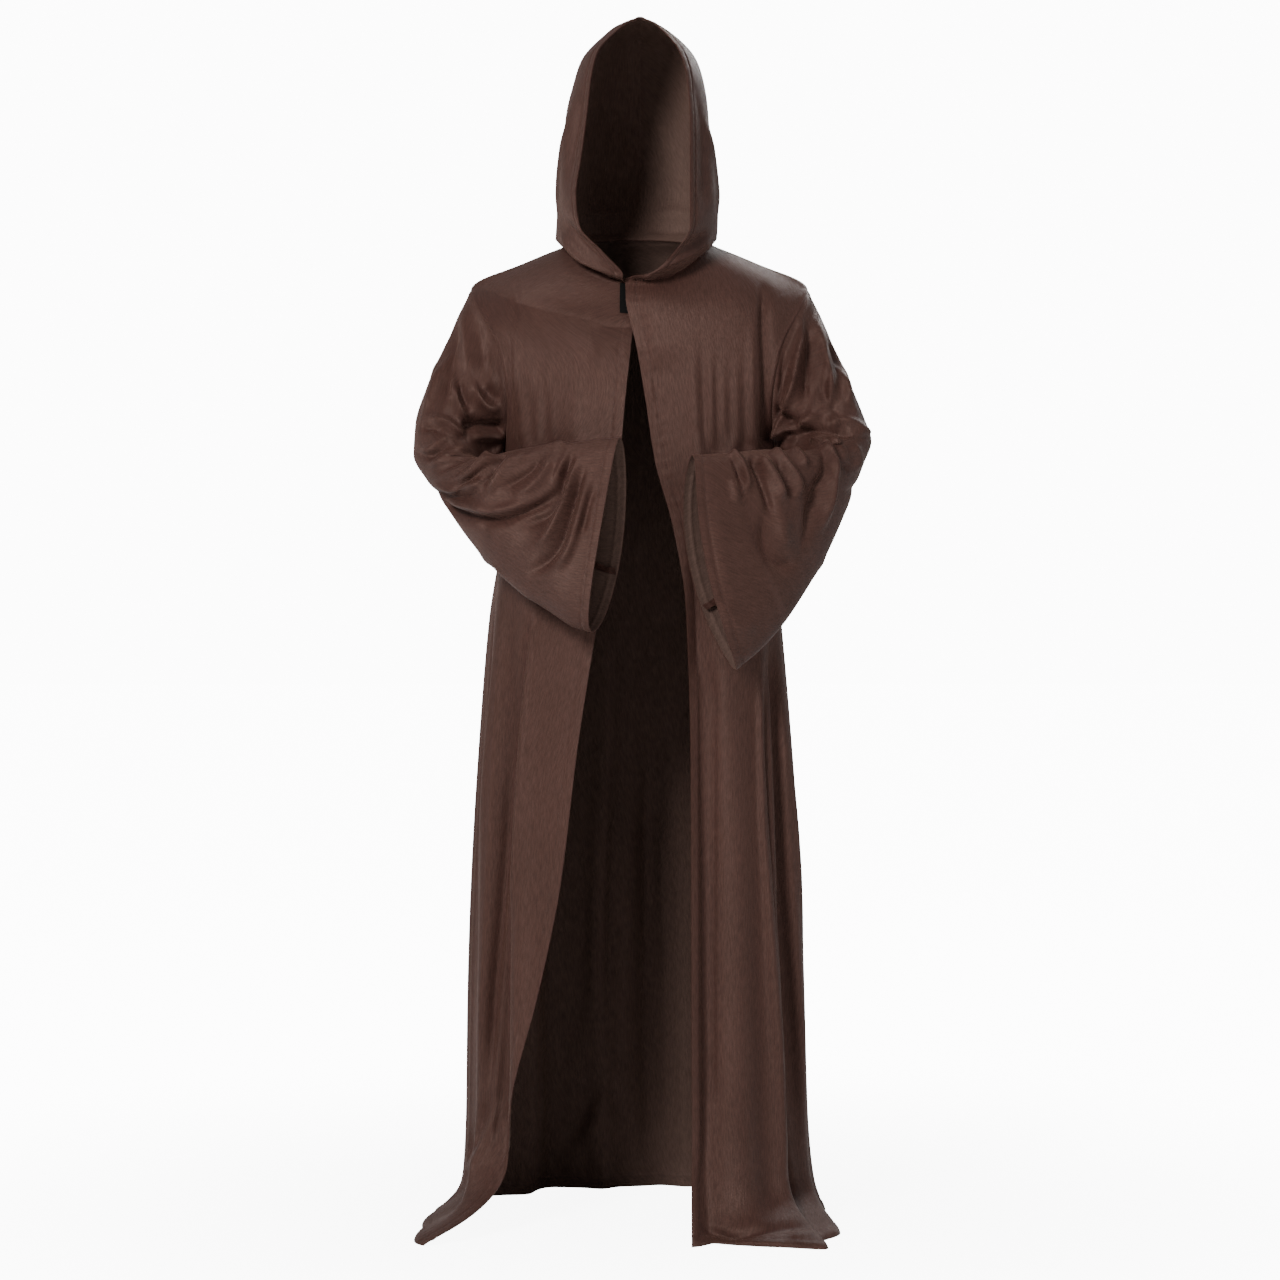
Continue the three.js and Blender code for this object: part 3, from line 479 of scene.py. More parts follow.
def normals_of(points: Array, is_tube: bool = False) -> Array:
    """Gives the directions out of a grid of points, which are down it crossed with across it.

    Args:
        points: The grid, row by row downwards, its columns running to the right seen from outside.
        is_tube: Whether its last column lies on its first.

    Returns:
        A unit vector for each point.
    """
    down = np.gradient(points, axis=0)
    if is_tube:
        wrapped = np.concatenate([points[:, -2:-1], points, points[:, 1:2]], axis=1)
        across = (wrapped[:, 2:] - wrapped[:, :-2]) / 2
    else:
        across = np.gradient(points, axis=1)
    return unit(np.cross(down, across))


def lengths_along(points: Array, axis: int) -> Array:
    """Gives how far along its row or column each point of a grid lies.

    Args:
        points: The grid of points.
        axis: 0 to measure down the columns, 1 to measure along the rows.

    Returns:
        The lengths in mm.
    """
    steps = np.linalg.norm(np.diff(points, axis=axis), axis=-1)
    start = np.zeros_like(np.take(steps, [0], axis=axis))
    return np.concatenate([start, np.cumsum(steps, axis=axis)], axis=axis)


def from_edge(points: Array, axis: int, at_end: bool) -> Array:
    """Gives each point's distance in mm, along the cloth, from the first or last row or column."""
    along = lengths_along(points, axis)
    return np.take(along, [-1], axis=axis) - along if at_end else along


def graded(count: int, fine: int, band: float, at_start: bool, at_end: bool) -> Array:
    """Spaces values from 0 to 1, closer together in a band at the ends that carry a hem.

    Args:
        count: The number of steps outside the bands.
        fine: The number of steps in a band.
        band: The share that a band takes.
        at_start: Whether there is a band at 0.
        at_end: Whether there is a band at 1.

    Returns:
        The values.
    """
    low = band if at_start else 0.0
    high = 1 - band if at_end else 1.0
    parts = [np.linspace(low, high, count + 1)]
    if at_start:
        parts.insert(0, np.linspace(0, low, fine + 1)[:-1])
    if at_end:
        parts.append(np.linspace(high, 1, fine + 1)[1:])
    return np.concatenate(parts)


def body_fold_out(angle: Array, at: Array) -> Array:
    """Gives how far the body's folds push it outwards.

    Args:
        angle: Degrees from the front towards the left.
        at: The ring.

    Returns:
        The distances in mm.
    """
    out = np.zeros(np.broadcast(angle, at).shape)
    for side, top, bottom, width, depth, start, full, end in BODY_FOLDS:
        apart = np.abs(angle - side * lerp(top, bottom, at / BODY_RINGS.last)) % 360
        apart = np.minimum(apart, 360 - apart)
        out += depth * smooth(at, start, full) * (1 - smooth(at, end - 1, end)) * bell(apart, width)
    return out


def body_point(angle: Array, at: Array) -> Array:
    """Gives the middle of the body's cloth.

    Args:
        angle: Degrees from the front towards the left.
        at: The ring.

    Returns:
        The points.
    """
    rings = BODY_RINGS
    sine, cosine = np.sin(np.radians(angle)), np.cos(np.radians(angle))
    square = rings.square(at)
    reach = (np.abs(sine) ** square + np.abs(cosine) ** square) ** (-1 / square)
    wide = np.where(sine < 0, rings.right(at), rings.left(at))
    deep = np.where(cosine > 0, rings.front(at), rings.back(at))
    end_height = np.where(cosine > 0, rings.z_front(at), rings.z_back(at))
    x, y = wide * reach * sine, -deep * reach * cosine
    away = unit(stacked(x / wide, y / deep, np.zeros_like(x)))
    out = body_fold_out(angle, at)
    x, y = x + away[..., 0] * out, y + away[..., 1] * out
    z = lerp(rings.z_side(at), end_height, np.abs(cosine) ** 1.6)
    for side, middle, width, start, kick_x, kick_y in HEM_KICKS:
        apart = np.abs(angle - side * middle) % 360
        push = bell(np.minimum(apart, 360 - apart), width) * smooth(at, start, rings.last) ** 1.5
        x, y = x + kick_x * push, y + kick_y * push
    return stacked(x, y, z)


def out_of(surface: Surface, across: Array, down: Array) -> Array:
    """Gives the unit vectors out of a surface's outside.

    Args:
        surface: The surface.
        across: Where on it, across.
        down: Where on it, down.

    Returns:
        The vectors.
    """
    step = 0.01
    over_across = surface(across + step, down) - surface(across - step, down)
    over_down = surface(across, down + step) - surface(across, down - step)
    return unit(np.cross(over_down, over_across))


# How far the left front is lifted over the right one in mm, and the degrees and rings over which that ends.
LAP_LIFT = 5.9
LAP_ANGLES = (6, 26)
LAP_RINGS = (2.7, 3.6)


def left_front_point(angle: Array, at: Array) -> Array:
    """Gives the middle of the left front's cloth, which laps over the right front from neck to chest."""
    lift = LAP_LIFT * (1 - smooth(angle, *LAP_ANGLES)) * (1 - smooth(at, *LAP_RINGS))
    return body_point(angle, at) + out_of(body_point, angle, at) * lift[..., None]


def angle_at(x: Array, at: Array) -> Array:
    """Gives the angle at which a ring has a given place across the body, in front of its axis.

    Args:
        x: The places in mm.
        at: The ring.

    Returns:
        The angles in degrees.
    """
    x = np.asarray(x, float)
    across = np.abs(x) / np.where(x < 0, BODY_RINGS.right(at), BODY_RINGS.left(at))
    square = BODY_RINGS.square(at)
    return np.sign(x) * np.degrees(np.arctan2(across, (1 - across**square) ** (1 / square)))


# The body's rows count the yoke's steps, the armhole's and the skirt's, as the panels are cut.
YOKE_ROWS = 4
ARMHOLE_ROWS = 10
SKIRT_ROWS = 12
ARMHOLE_END = YOKE_ROWS + ARMHOLE_ROWS
# How far the armhole is cut forward and back from the side, in degrees.
ARMHOLE_FRONT = 37
ARMHOLE_BACK = 33
ARMHOLE_LINES = 80


def armhole_ring(step: Array) -> Array:
    """Gives the ring of an armhole step, closer together at both ends of the armhole.

    Args:
        step: The step, counted from the shoulder.

    Returns:
        The ring.
    """
    share = step / ARMHOLE_ROWS
    eased = (1 - np.cos(np.pi * share)) / 2
    return lerp(SHOULDER_RING, ARMPIT_RING, lerp(share, eased, 0.6))


def ring_of(row: Array) -> Array:
    """Gives the ring of a body row.

    Args:
        row: The row, counted from the neckline.

    Returns:
        The ring.
    """
    step = np.clip(row - YOKE_ROWS, 0, ARMHOLE_ROWS)
    skirt = ARMPIT_RING + (BODY_RINGS.last - ARMPIT_RING) * (row - ARMHOLE_END) / SKIRT_ROWS
    lower = np.where(row > ARMHOLE_END, skirt, armhole_ring(step))
    return np.where(row < YOKE_ROWS, SHOULDER_RING * row / YOKE_ROWS, lower)


def armhole_cut(row: Array, depth: float) -> Array:
    """Gives how far, in degrees, the armhole is cut away from the side at a row."""
    share = np.clip((row - YOKE_ROWS) / ARMHOLE_ROWS, 0, 1)
    return depth * np.abs(np.sin(np.pi * share)) ** 0.8


def armhole_place(side: Side, turn: Array) -> tuple[Array, Array]:
    """Gives a place on the armhole's edge.

    Args:
        side: The wearer's side.
        turn: The share round it, from the armpit up the back.

    Returns:
        The angle in degrees and the ring.
    """
    along = (turn % 1) * 2 * ARMHOLE_ROWS
    step = np.abs(along - ARMHOLE_ROWS)
    row = YOKE_ROWS + step
    is_back = along < ARMHOLE_ROWS
    cut = np.where(is_back, armhole_cut(row, ARMHOLE_BACK), -armhole_cut(row, ARMHOLE_FRONT))
    return side.value * (90 + cut), armhole_ring(step)


# How far round the back of the sleeve its underarm seam has turned at the cuff, in degrees.
SEAM_TURN = 114
# The station down to which the sleeve is bent to the armhole, and the last one, at the cuff.
SLEEVE_FIT = 3.2
LAST_STATION = 13
# The part of the sleeves' folds that stays under their creases.
FOLD_SHARE = 0.55
# What a station and a degree measure on the sleeve in mm.
FOLD_STEPS = (35.0, 1.6)


def sleeve_fold_out(side: Side, station: Array, angle: Array) -> Array:
    """Gives how far the sleeve's folds push it outwards, by the distance from each fold's line.

    Args:
        side: The wearer's side.
        station: The section.
        angle: Degrees round the section.

    Returns:
        The distances in mm.
    """
    step = np.array(FOLD_STEPS)
    out = np.zeros(np.broadcast(station, angle).shape)
    places = np.stack(np.broadcast_arrays(station, angle), axis=-1)
    for owner, station_1, angle_1, station_2, angle_2, width, depth in SLEEVE_FOLDS:
        if owner != side.value:
            continue
        line = np.array([station_2 - station_1, angle_2 - angle_1]) * step
        start = (places - np.array([station_1, angle_1])) * step
        share = np.clip(start @ line / (line @ line), 0, 1)
        apart = np.linalg.norm(start - share[..., None] * line, axis=-1)
        out += FOLD_SHARE * depth * bell(apart, width) * np.sin(np.pi * lerp(0.12, 0.9, share))
    return out


def section_point(side: Side, angle: Array, station: Array) -> Array:
    """Gives a point of a sleeve's section before it is fitted to the armhole.

    Args:
        side: The wearer's side.
        angle: Degrees from the section's inner point round the back of the sleeve.
        station: The section, from 0 at the armhole to LAST_STATION at the cuff.

    Returns:
        The points.
    """
    section = SLEEVE_TABLES[side]
    inner = stacked(section.inner_x(station), section.inner_y(station), section.inner_z(station))
    outer = stacked(section.outer_x(station), section.outer_y(station), section.outer_z(station))
    middle = (inner + outer) / 2
    cosine, sine = np.cos(np.radians(angle)), np.sin(np.radians(angle))
    turned = np.radians(section.turn(station))
    backwards = stacked(-side.value * np.sin(turned), np.cos(turned), np.zeros_like(turned))
    thick = np.where(sine > 0, section.back(station), section.front(station))
    point = middle + (inner - middle) * cosine[..., None]
    bowed = side.value * section.bow(station) * sine**2
    point = point - np.stack([bowed, np.zeros_like(bowed), np.zeros_like(bowed)], axis=-1)
    point = point + backwards * (sine * thick * (1 + section.taper(station) * cosine))[..., None]
    out = sleeve_fold_out(side, station, angle % 360) * smooth(station, 0.3, 2)
    return point + unit(point - middle) * out[..., None]


def sleeve_point(side: Side, turn: Array, station: Array) -> Array:
    """Gives the middle of a sleeve's cloth.

    Args:
        side: The wearer's side.
        turn: The share round the sleeve from its underarm seam.
        station: The station down it.

    Returns:
        The points.
    """
    angle = 360 * turn + SEAM_TURN * smooth(station, 0, LAST_STATION)
    fitted = 1 - smooth(station, 0, SLEEVE_FIT)
    start = section_point(side, 360 * turn, np.zeros_like(station))
    fit = body_point(*armhole_place(side, turn)) - start
    return section_point(side, angle, station) + fit * fitted[..., None]


def neckline_angle(side: Side, share: Array) -> Array:
    """Gives the angle on the neckline of a share round the hood, from its face edge to the back seam."""
    start = angle_at(HOOD_STARTS[side], 0.0)
    return np.where(share < 0.5, lerp(start, side.value * 90, 2 * share), side.value * 180 * share)


def hood_shape(side: Side, share: Array, level: Array) -> Array:
    """Gives the hood's form before it is sewn to the neckline.

    Args:
        side: The wearer's side.
        share: The share round the hood, from its face edge to the back seam.
        level: The level, counted from the neckline.

    Returns:
        The points.
    """
    table = HOOD_TABLE
    is_right = side is Side.RIGHT
    width = np.maximum(table.side_right(level) if is_right else table.side_left(level), 0.01)
    edge = table.edge_right(level) if is_right else table.edge_left(level)
    edge_angle = np.arcsin(np.clip(edge / width, -1, 1))
    angle = np.where(share < 0.5, lerp(edge_angle, np.pi / 2, share * 2), np.pi * share)
    towards_front = np.cos(angle) / np.cos(edge_angle)
    is_front = towards_front > 0
    towards_end = np.where(is_front, towards_front, -np.cos(angle))
    end = np.where(is_front, table.y_front(level), table.y_back(level))
    end_height = np.where(is_front, table.z_front(level), table.z_back(level))
    return stacked(
        side.value * width * np.sin(angle),
        lerp(table.y_side(level), end, towards_end),
        lerp(table.z_side(level), end_height, np.clip(towards_end, 0, 1) ** 1.6),
    )


def hood_point(side: Side, share: Array, level: Array) -> Array:
    """Gives the middle of the hood's cloth, sewn to the neckline at its lowest level.

    Args:
        side: The wearer's side.
        share: The share round the hood, from its face edge to the back seam.
        level: The level, counted from the neckline.

    Returns:
        The points.
    """
    sewn = 1 - smooth(level, 0, HOOD_FIT)
    angle = neckline_angle(side, share)
    bottom = np.zeros_like(level)
    on_body = body_point(angle, bottom)
    if side is Side.LEFT:
        on_body = np.where((share < 0.5)[..., None], left_front_point(angle, bottom), on_body)
    fit = on_body - hood_shape(side, share, bottom)
    return hood_shape(side, share, level) + fit * sewn[..., None]


def new_material(name: str) -> tuple[bpy.types.Material, bpy.types.ShaderNode]:
    """Makes a material.

    Args:
        name: Its name.

    Returns:
        The material and its shader.
    """
    material = bpy.data.materials.new(name)
    material.use_nodes = True
    return material, material.node_tree.nodes["Principled BSDF"]


@dataclass(frozen=True)
class KnitFinish:
    """The satin-faced brown knit.

    Attributes:
        name: The material's name.
        colour: Its colour, linear.
        deep: Its colour where it is darker.
        roughness: How dull it is.
        sheen: The strength of its soft sheen.
        sheen_tint: The colour of the sheen.
        sheen_roughness: How widely the sheen spreads.
        specular: The strength of its gloss.
        specular_tint: The colour of the gloss.
        relief: The height of the knit in metres.
        bump: How strongly the knit shows.
        uneven: How much duller its dark streaks are than its light ones.
    """

    name: str
    colour: Colour
    deep: Colour
    roughness: float
    sheen: float
    sheen_tint: Colour = (0.62, 0.36, 0.28)
    sheen_roughness: float = 0.42
    specular: float = 0.36
    specular_tint: Colour = (0.80, 0.56, 0.48)
    relief: float = 0.0004
    bump: float = 0.55
    uneven: float = 0.08

    def material(self) -> bpy.types.Material:
        """Makes the material, or gives it again.

        Returns:
            The material.
        """
        if self.name in bpy.data.materials:
            return bpy.data.materials[self.name]
        material, shader = new_material(self.name)
        nodes, links = material.node_tree.nodes, material.node_tree.links
        knit = nodes.new("ShaderNodeGroup")
        knit.node_tree = knit_group()
        mix = nodes.new("ShaderNodeMix")
        mix.data_type = "RGBA"
        mix.inputs[6].default_value = (*self.deep, 1)
        mix.inputs[7].default_value = (*self.colour, 1)
        links.new(knit.outputs["Shade"], mix.inputs[0])
        links.new(mix.outputs[2], shader.inputs["Base Color"])
        rough = nodes.new("ShaderNodeMath")
        rough.operation = "MULTIPLY_ADD"
        rough.inputs[1].default_value = -self.uneven
        rough.inputs[2].default_value = self.roughness + self.uneven / 2
        links.new(knit.outputs["Shade"], rough.inputs[0])
        links.new(rough.outputs[0], shader.inputs["Roughness"])
        bump = nodes.new("ShaderNodeBump")
        bump.inputs["Strength"].default_value = self.bump
        bump.inputs["Distance"].default_value = self.relief
        links.new(knit.outputs["Height"], bump.inputs["Height"])
        links.new(bump.outputs[0], shader.inputs["Normal"])
        shader.inputs["Specular IOR Level"].default_value = self.specular
        shader.inputs["Specular Tint"].default_value = (*self.specular_tint, 1)
        shader.inputs["Sheen Weight"].default_value = self.sheen
        shader.inputs["Sheen Roughness"].default_value = self.sheen_roughness
        shader.inputs["Sheen Tint"].default_value = (*self.sheen_tint, 1)
        return material


# The cells of the knit's patterns for each metre across and down the cut.
WALES = (260, 60, 1)
COURSES = (40, 230, 1)
STREAKS = (520, 60, 1)
CLOUDS = (9, 5, 1)
# The stretch of the streaks' noise that is spread from 0 to 1.
STREAK_SPREAD = (0.36, 0.64)
# How much the patterns add to the knit's height, beside the wales, and to its shade.
COURSE_HEIGHT = 0.35
STREAK_HEIGHT = 0.9
STREAK_SHADE = 0.55
CLOUD_SHADE = 0.6
WALE_SHADE = 0.16


def knit_group() -> bpy.types.NodeTree:
    """Makes the node group of the knit: its wales, courses and uneven shade, on the cut's own map.

    Returns:
        The group, with the outputs Height and Shade.
    """
    if "knit" in bpy.data.node_groups:
        return bpy.data.node_groups["knit"]
    tree = bpy.data.node_groups.new("knit", "ShaderNodeTree")
    for name in ("Height", "Shade"):
        tree.interface.new_socket(name=name, in_out="OUTPUT", socket_type="NodeSocketFloat")
    nodes, links = tree.nodes, tree.links
    cut = nodes.new("ShaderNodeUVMap")
    cut.uv_map = "cut"

    def mapped(scale: tuple[float, float, float]) -> bpy.types.NodeSocket:
        """Scales the cut's map.

        Args:
            scale: How many cells it has for each metre.

        Returns:
            The scaled map.
        """
        mapping = nodes.new("ShaderNodeMapping")
        mapping.inputs["Scale"].default_value = scale
        links.new(cut.outputs[0], mapping.inputs[0])
        return mapping.outputs[0]

    def combined(kind: str, first: bpy.types.NodeSocket, second: bpy.types.NodeSocket | float,
                 third: bpy.types.NodeSocket | float = 0.0) -> bpy.types.NodeSocket:
        """Joins two or three values by a sum or product.

        Args:
            kind: The kind of sum.
            first: The first value.
            second: The second value.
            third: The third value.

        Returns:
            The result.
        """
        math_node = nodes.new("ShaderNodeMath")
        math_node.operation = kind
        for socket, value in zip(math_node.inputs, (first, second, third)):
            if isinstance(value, float):
                socket.default_value = value
            else:
                links.new(value, socket)
        return math_node.outputs[0]

    def noise(scale: tuple[float, float, float], detail: float) -> bpy.types.NodeSocket:
        """Adds an uneven pattern.

        Args:
            scale: How many cells it has for each metre.
            detail: How many finer patterns lie in it.

        Returns:
            The pattern.
        """
        node = nodes.new("ShaderNodeTexNoise")
        node.inputs["Scale"].default_value = 1.0
        node.inputs["Detail"].default_value = detail
        links.new(mapped(scale), node.inputs["Vector"])
        return node.outputs["Fac"]

    def ribs(direction: str, scale: tuple[float, float, float], distortion: float,
             detail: float) -> bpy.types.NodeSocket:
        """Adds a pattern of ribs.

        Args:
            direction: The axis across them.
            scale: How many cells it has for each metre.
            distortion: How uneven they are.
            detail: How many finer patterns lie in it.

        Returns:
            The pattern.
        """
        node = nodes.new("ShaderNodeTexWave")
        node.bands_direction = direction
        for name, value in (("Scale", 1.0), ("Distortion", distortion), ("Detail", detail)):
            node.inputs[name].default_value = value
        links.new(mapped(scale), node.inputs["Vector"])
        return node.outputs["Fac"]

    wales = ribs("X", WALES, 0.6, 1.0)
    courses = ribs("Y", COURSES, 1.2, 2.0)
    spread = nodes.new("ShaderNodeMapRange")
    for name, value in zip(("From Min", "From Max"), STREAK_SPREAD):
        spread.inputs[name].default_value = value
    links.new(noise(STREAKS, 4.0), spread.inputs["Value"])
    streaks = spread.outputs["Result"]
    clouds = noise(CLOUDS, 4.0)
    stitches = combined("MULTIPLY_ADD", courses, COURSE_HEIGHT, wales)
    height = combined("MULTIPLY_ADD", streaks, STREAK_HEIGHT, stitches)
    shade = combined("MULTIPLY_ADD", streaks, STREAK_SHADE, combined("MULTIPLY", clouds, CLOUD_SHADE))
    shade = combined("MULTIPLY_ADD", wales, WALE_SHADE, shade)
    out = nodes.new("NodeGroupOutput")
    links.new(height, out.inputs["Height"])
    links.new(shade, out.inputs["Shade"])
    return tree


KNIT_OUT = KnitFinish("brown_knit_face", (0.045, 0.0200, 0.0157), (0.0170, 0.0073, 0.0056), 0.47, 0.12)
# The back of the knit is duller than its face. Its colour is raised to nearly twice the face's as painted
# light, standing in for the light that falls into the inside of the robe.
KNIT_IN_PAINTED_LIGHT = KnitFinish("brown_knit_back_painted_light", (0.082, 0.050, 0.040), (0.049, 0.030, 0.024), 0.66, 0.1)


@dataclass(frozen=True)
class PlainFinish:
    """A small part's finish, with a fine grain.

    Attributes:
        name: The material's name.
        colour: Its colour, linear.
        roughness: How dull it is.
        sheen: The strength of its soft sheen.
        grain: The cells of its grain for each metre.
        relief: The height of the grain in metres.
        bump: How strongly the grain shows.
        specular: The strength of its gloss.
        uneven: How much lighter and darker than its colour the grain is.
    """

    name: str
    colour: Colour
    roughness: float
    sheen: float
    grain: float
    relief: float
    bump: float = 0.8
    specular: float = 0.08
    uneven: float = 0.4

    def material(self) -> bpy.types.Material:
        """Makes the material, or gives it again.

        Returns:
            The material.
        """
        if self.name in bpy.data.materials:
            return bpy.data.materials[self.name]
        material, shader = new_material(self.name)
        nodes, links = material.node_tree.nodes, material.node_tree.links
        place = nodes.new("ShaderNodeTexCoord")
        noise = nodes.new("ShaderNodeTexNoise")
        noise.inputs["Scale"].default_value = self.grain
        noise.inputs["Detail"].default_value = 3.0
        links.new(place.outputs["Object"], noise.inputs["Vector"])
        mix = nodes.new("ShaderNodeMix")
        mix.data_type = "RGBA"
        mix.inputs[6].default_value = (*((1 - self.uneven) * value for value in self.colour), 1)
        mix.inputs[7].default_value = (*((1 + self.uneven) * value for value in self.colour), 1)
        links.new(noise.outputs["Fac"], mix.inputs[0])
        links.new(mix.outputs[2], shader.inputs["Base Color"])
        bump = nodes.new("ShaderNodeBump")
        bump.inputs["Distance"].default_value = self.relief
        bump.inputs["Strength"].default_value = self.bump
        links.new(noise.outputs["Fac"], bump.inputs["Height"])
        links.new(bump.outputs[0], shader.inputs["Normal"])
        shader.inputs["Roughness"].default_value = self.roughness
        shader.inputs["Specular IOR Level"].default_value = self.specular
        shader.inputs["Sheen Weight"].default_value = self.sheen
        return material


LOOP_TAPE = PlainFinish("loop_tape", (0.003, 0.0028, 0.0026), 0.95, 0.01, 900.0, 0.0006)
HOOK_TAPE = PlainFinish("hook_tape", (0.0035, 0.0033, 0.003), 0.6, 0.01, 700.0, 0.0005)
THREAD = PlainFinish("sewing_thread", (0.034, 0.015, 0.011), 0.5, 0.2, 2500.0, 0.0001)


# The share of a hem's thickness that single cloth has.
SINGLE_CLOTH = 0.55
# How far stitches lie from the cloth's middle in mm.
STITCH_LIFT = 0.62
# Half a stitch's length as a share of the distance to the next, and half its width and height in mm.
STITCH_SHARE = 0.37
STITCH_HALF_SIZE = (0.34, 0.26)


@dataclass
class Hem:
    """A turned and stitched hem along one edge of a sheet.

    Attributes:
        distance: How far each point of the sheet lies from the edge in mm.
        width: The width of the turned cloth in mm.
        groove: How deep the stitching pulls the cloth in, in mm.
    """

    distance: Array
    width: float
    groove: float = 0.9

    def weight(self) -> Array:
        """Gives 1 where the cloth is doubled and 0 where it is single."""
        return 1 - smooth(self.distance, self.width - 1.5, self.width + 1.5)

    def relief(self, along: Array) -> Array:
        """Gives the hem's small heights: its groove at the stitching and its puckers.

        Args:
            along: How far along the edge each point lies in mm.

        Returns:
            The heights in mm.
        """
        groove = -self.groove * bell(self.distance - self.width, 2.6)
        roll = 0.5 * bell(self.distance - self.width / 2, self.width / 2.2)
        wave = np.sin(along / 2.3 + 1.4 * np.sin(along / 31)) + 0.7 * np.sin(along / 3.7 + np.sin(along / 17))
        pucker = 0.22 * wave * bell(self.distance - self.width, self.width * 0.8)
        return groove + roll + pucker

    def stitching(self, points: Array, normals: Array, axis: int) -> Line:
        """Finds the line on the sheet's outside along which the hem is stitched.

        Args:
            points: The sheet's points.
            normals: The directions out of it.
            axis: 0 where the edge is a row, 1 where it is a column.

        Returns:
            The line's points and the directions out of the cloth.
        """
        nearest = np.abs(self.distance - self.width).argmin(axis=axis)
        others = np.arange(len(nearest))
        rows, columns = (nearest, others) if axis == 0 else (others, nearest)
        out = normals[rows, columns]
        return points[rows, columns] + out * STITCH_LIFT, out


def seam_puff(distance: Array, height: float = 0.9, middle: float = 6.0) -> Array:
    """Gives the small swell that follows a seam on each of its sides, in mm."""
    return height * bell(distance - middle, 4)


def shell(name: str, points: Array, thick: Array, is_tube: bool = False,
          thickness: float = 1.7) -> bpy.types.Object:
    """Makes a thin closed shell of cloth on a grid of points, with a map of the cut in metres.

    Args:
        name: The piece's name.
        points: The grid of points in mm.
        thick: The share of the full thickness at each point.
        is_tube: Whether the last column lies on the first.
        thickness: The thickness in mm where the cloth is doubled.

    Returns:
        The piece.
    """
    rows, columns = points.shape[:2]
    bm = bmesh.new()
    bmesh.ops.create_grid(bm, x_segments=columns - 1, y_segments=rows - 1, size=1)
    bmesh.ops.reverse_faces(bm, faces=bm.faces)
    mesh = bpy.data.meshes.new(name)
    bm.to_mesh(mesh)
    mesh.vertices.foreach_set("co", (points * METRES).ravel())
    cut = np.stack([lengths_along(points, 1), -lengths_along(points, 0)], axis=-1) * METRES
    corners = np.empty(len(mesh.loops), dtype=np.int32)
    mesh.loops.foreach_get("vertex_index", corners)
    mesh.uv_layers.new(name="cut").data.foreach_set("uv", cut.reshape(-1, 2)[corners].ravel())
    share = mesh.attributes.new("thick", "FLOAT", "POINT")
    share.data.foreach_set("value", np.clip(thick, 0, 1).ravel())
    if is_tube:
        bm.clear()
        bm.from_mesh(mesh)
        bmesh.ops.remove_doubles(bm, verts=bm.verts, dist=1e-6)
        bm.to_mesh(mesh)
    bm.free()
    piece = bpy.data.objects.new(name, mesh)
    bpy.context.scene.collection.objects.link(piece)
    group = piece.vertex_groups.new(name="thick")
    weights = np.empty(len(mesh.vertices), dtype=np.float32)
    mesh.attributes["thick"].data.foreach_get("value", weights)
    for index, weight in enumerate(weights):
        group.add([index], float(weight), "REPLACE")
    for finish in (KNIT_OUT, KNIT_IN_PAINTED_LIGHT):
        mesh.materials.append(finish.material())
    wall = piece.modifiers.new("wall", "SOLIDIFY")
    wall.thickness = thickness * METRES
    wall.offset = 0
    wall.vertex_group = "thick"
    wall.use_even_offset = False
    # The inner wall takes the back of the knit, whose lightened colour is painted light.
    wall.material_offset = 1
    finished = bpy.data.meshes.new_from_object(piece.evaluated_get(bpy.context.evaluated_depsgraph_get()))
    piece.modifiers.clear()
    piece.data = finished
    piece.vertex_groups.clear()
    finished.name = name
    finished.polygons.foreach_set("use_smooth", np.ones(len(finished.polygons), dtype=bool))
    finished.set_sharp_from_angle(angle=math.radians(60))
    return piece


def stitches(name: str, lines: list[Line], pitch: float = 3.4) -> bpy.types.Object:
    """Sews stitches along lines, one small lozenge of thread for each.

    Args:
        name: The piece's name.
        lines: The points of each line and the directions out of the cloth there, in mm.
        pitch: The distance from one stitch to the next in mm.

    Returns:
        The piece.
    """
    bm = bmesh.new()
    bmesh.ops.create_icosphere(bm, subdivisions=1, radius=1)
    bm.verts.ensure_lookup_table()
    seed = np.array([vertex.co[:] for vertex in bm.verts])
    faces = np.array([[vertex.index for vertex in face.verts] for face in bm.faces])
    bm.free()
    seed = seed * np.array([pitch * STITCH_SHARE, *STITCH_HALF_SIZE])
    spots, frames = [], []
    for line, out in lines:
        length = lengths_along(line, 0)
        at = np.arange(pitch / 2, length[-1], pitch)

        def read(values: Array) -> Array:
            """Reads values of the line's points where its stitches are."""
            return np.stack([np.interp(at, length, values[:, axis]) for axis in range(3)], axis=-1)

        spot, normal = read(line), unit(read(out))
        along = unit(np.gradient(spot, axis=0))
        sideways = unit(np.cross(normal, along))
        spots.append(spot)
        frames.append(np.stack([along, sideways, np.cross(along, sideways)], axis=1))
    spot, turned = np.concatenate(spots), np.concatenate(frames)
    points = np.einsum("vk,nkc->nvc", seed, turned) + spot[:, None]
    every = faces[None] + (np.arange(len(spot)) * len(seed))[:, None, None]
    mesh = bpy.data.meshes.new(name)
    mesh.from_pydata((points.reshape(-1, 3) * METRES).tolist(), [], every.reshape(-1, 3).tolist())
    mesh.polygons.foreach_set("use_smooth", np.ones(len(mesh.polygons), dtype=bool))
    mesh.materials.append(THREAD.material())
    piece = bpy.data.objects.new(name, mesh)
    bpy.context.scene.collection.objects.link(piece)
    return piece


def dress(piece: bpy.types.Object, slot: str, *nodes: str) -> None:
    """Puts a piece on the robe's body in place of nodes.

    Args:
        piece: The piece.
        slot: The name of its finish, not used.
        nodes: The nodes that it stands for.
    """
    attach(piece, "root")
    if nodes:
        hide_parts(*nodes)
    count = sum(len(polygon.vertices) - 2 for polygon in piece.data.polygons)
    log.info("%s: %d triangles", piece.name, count)


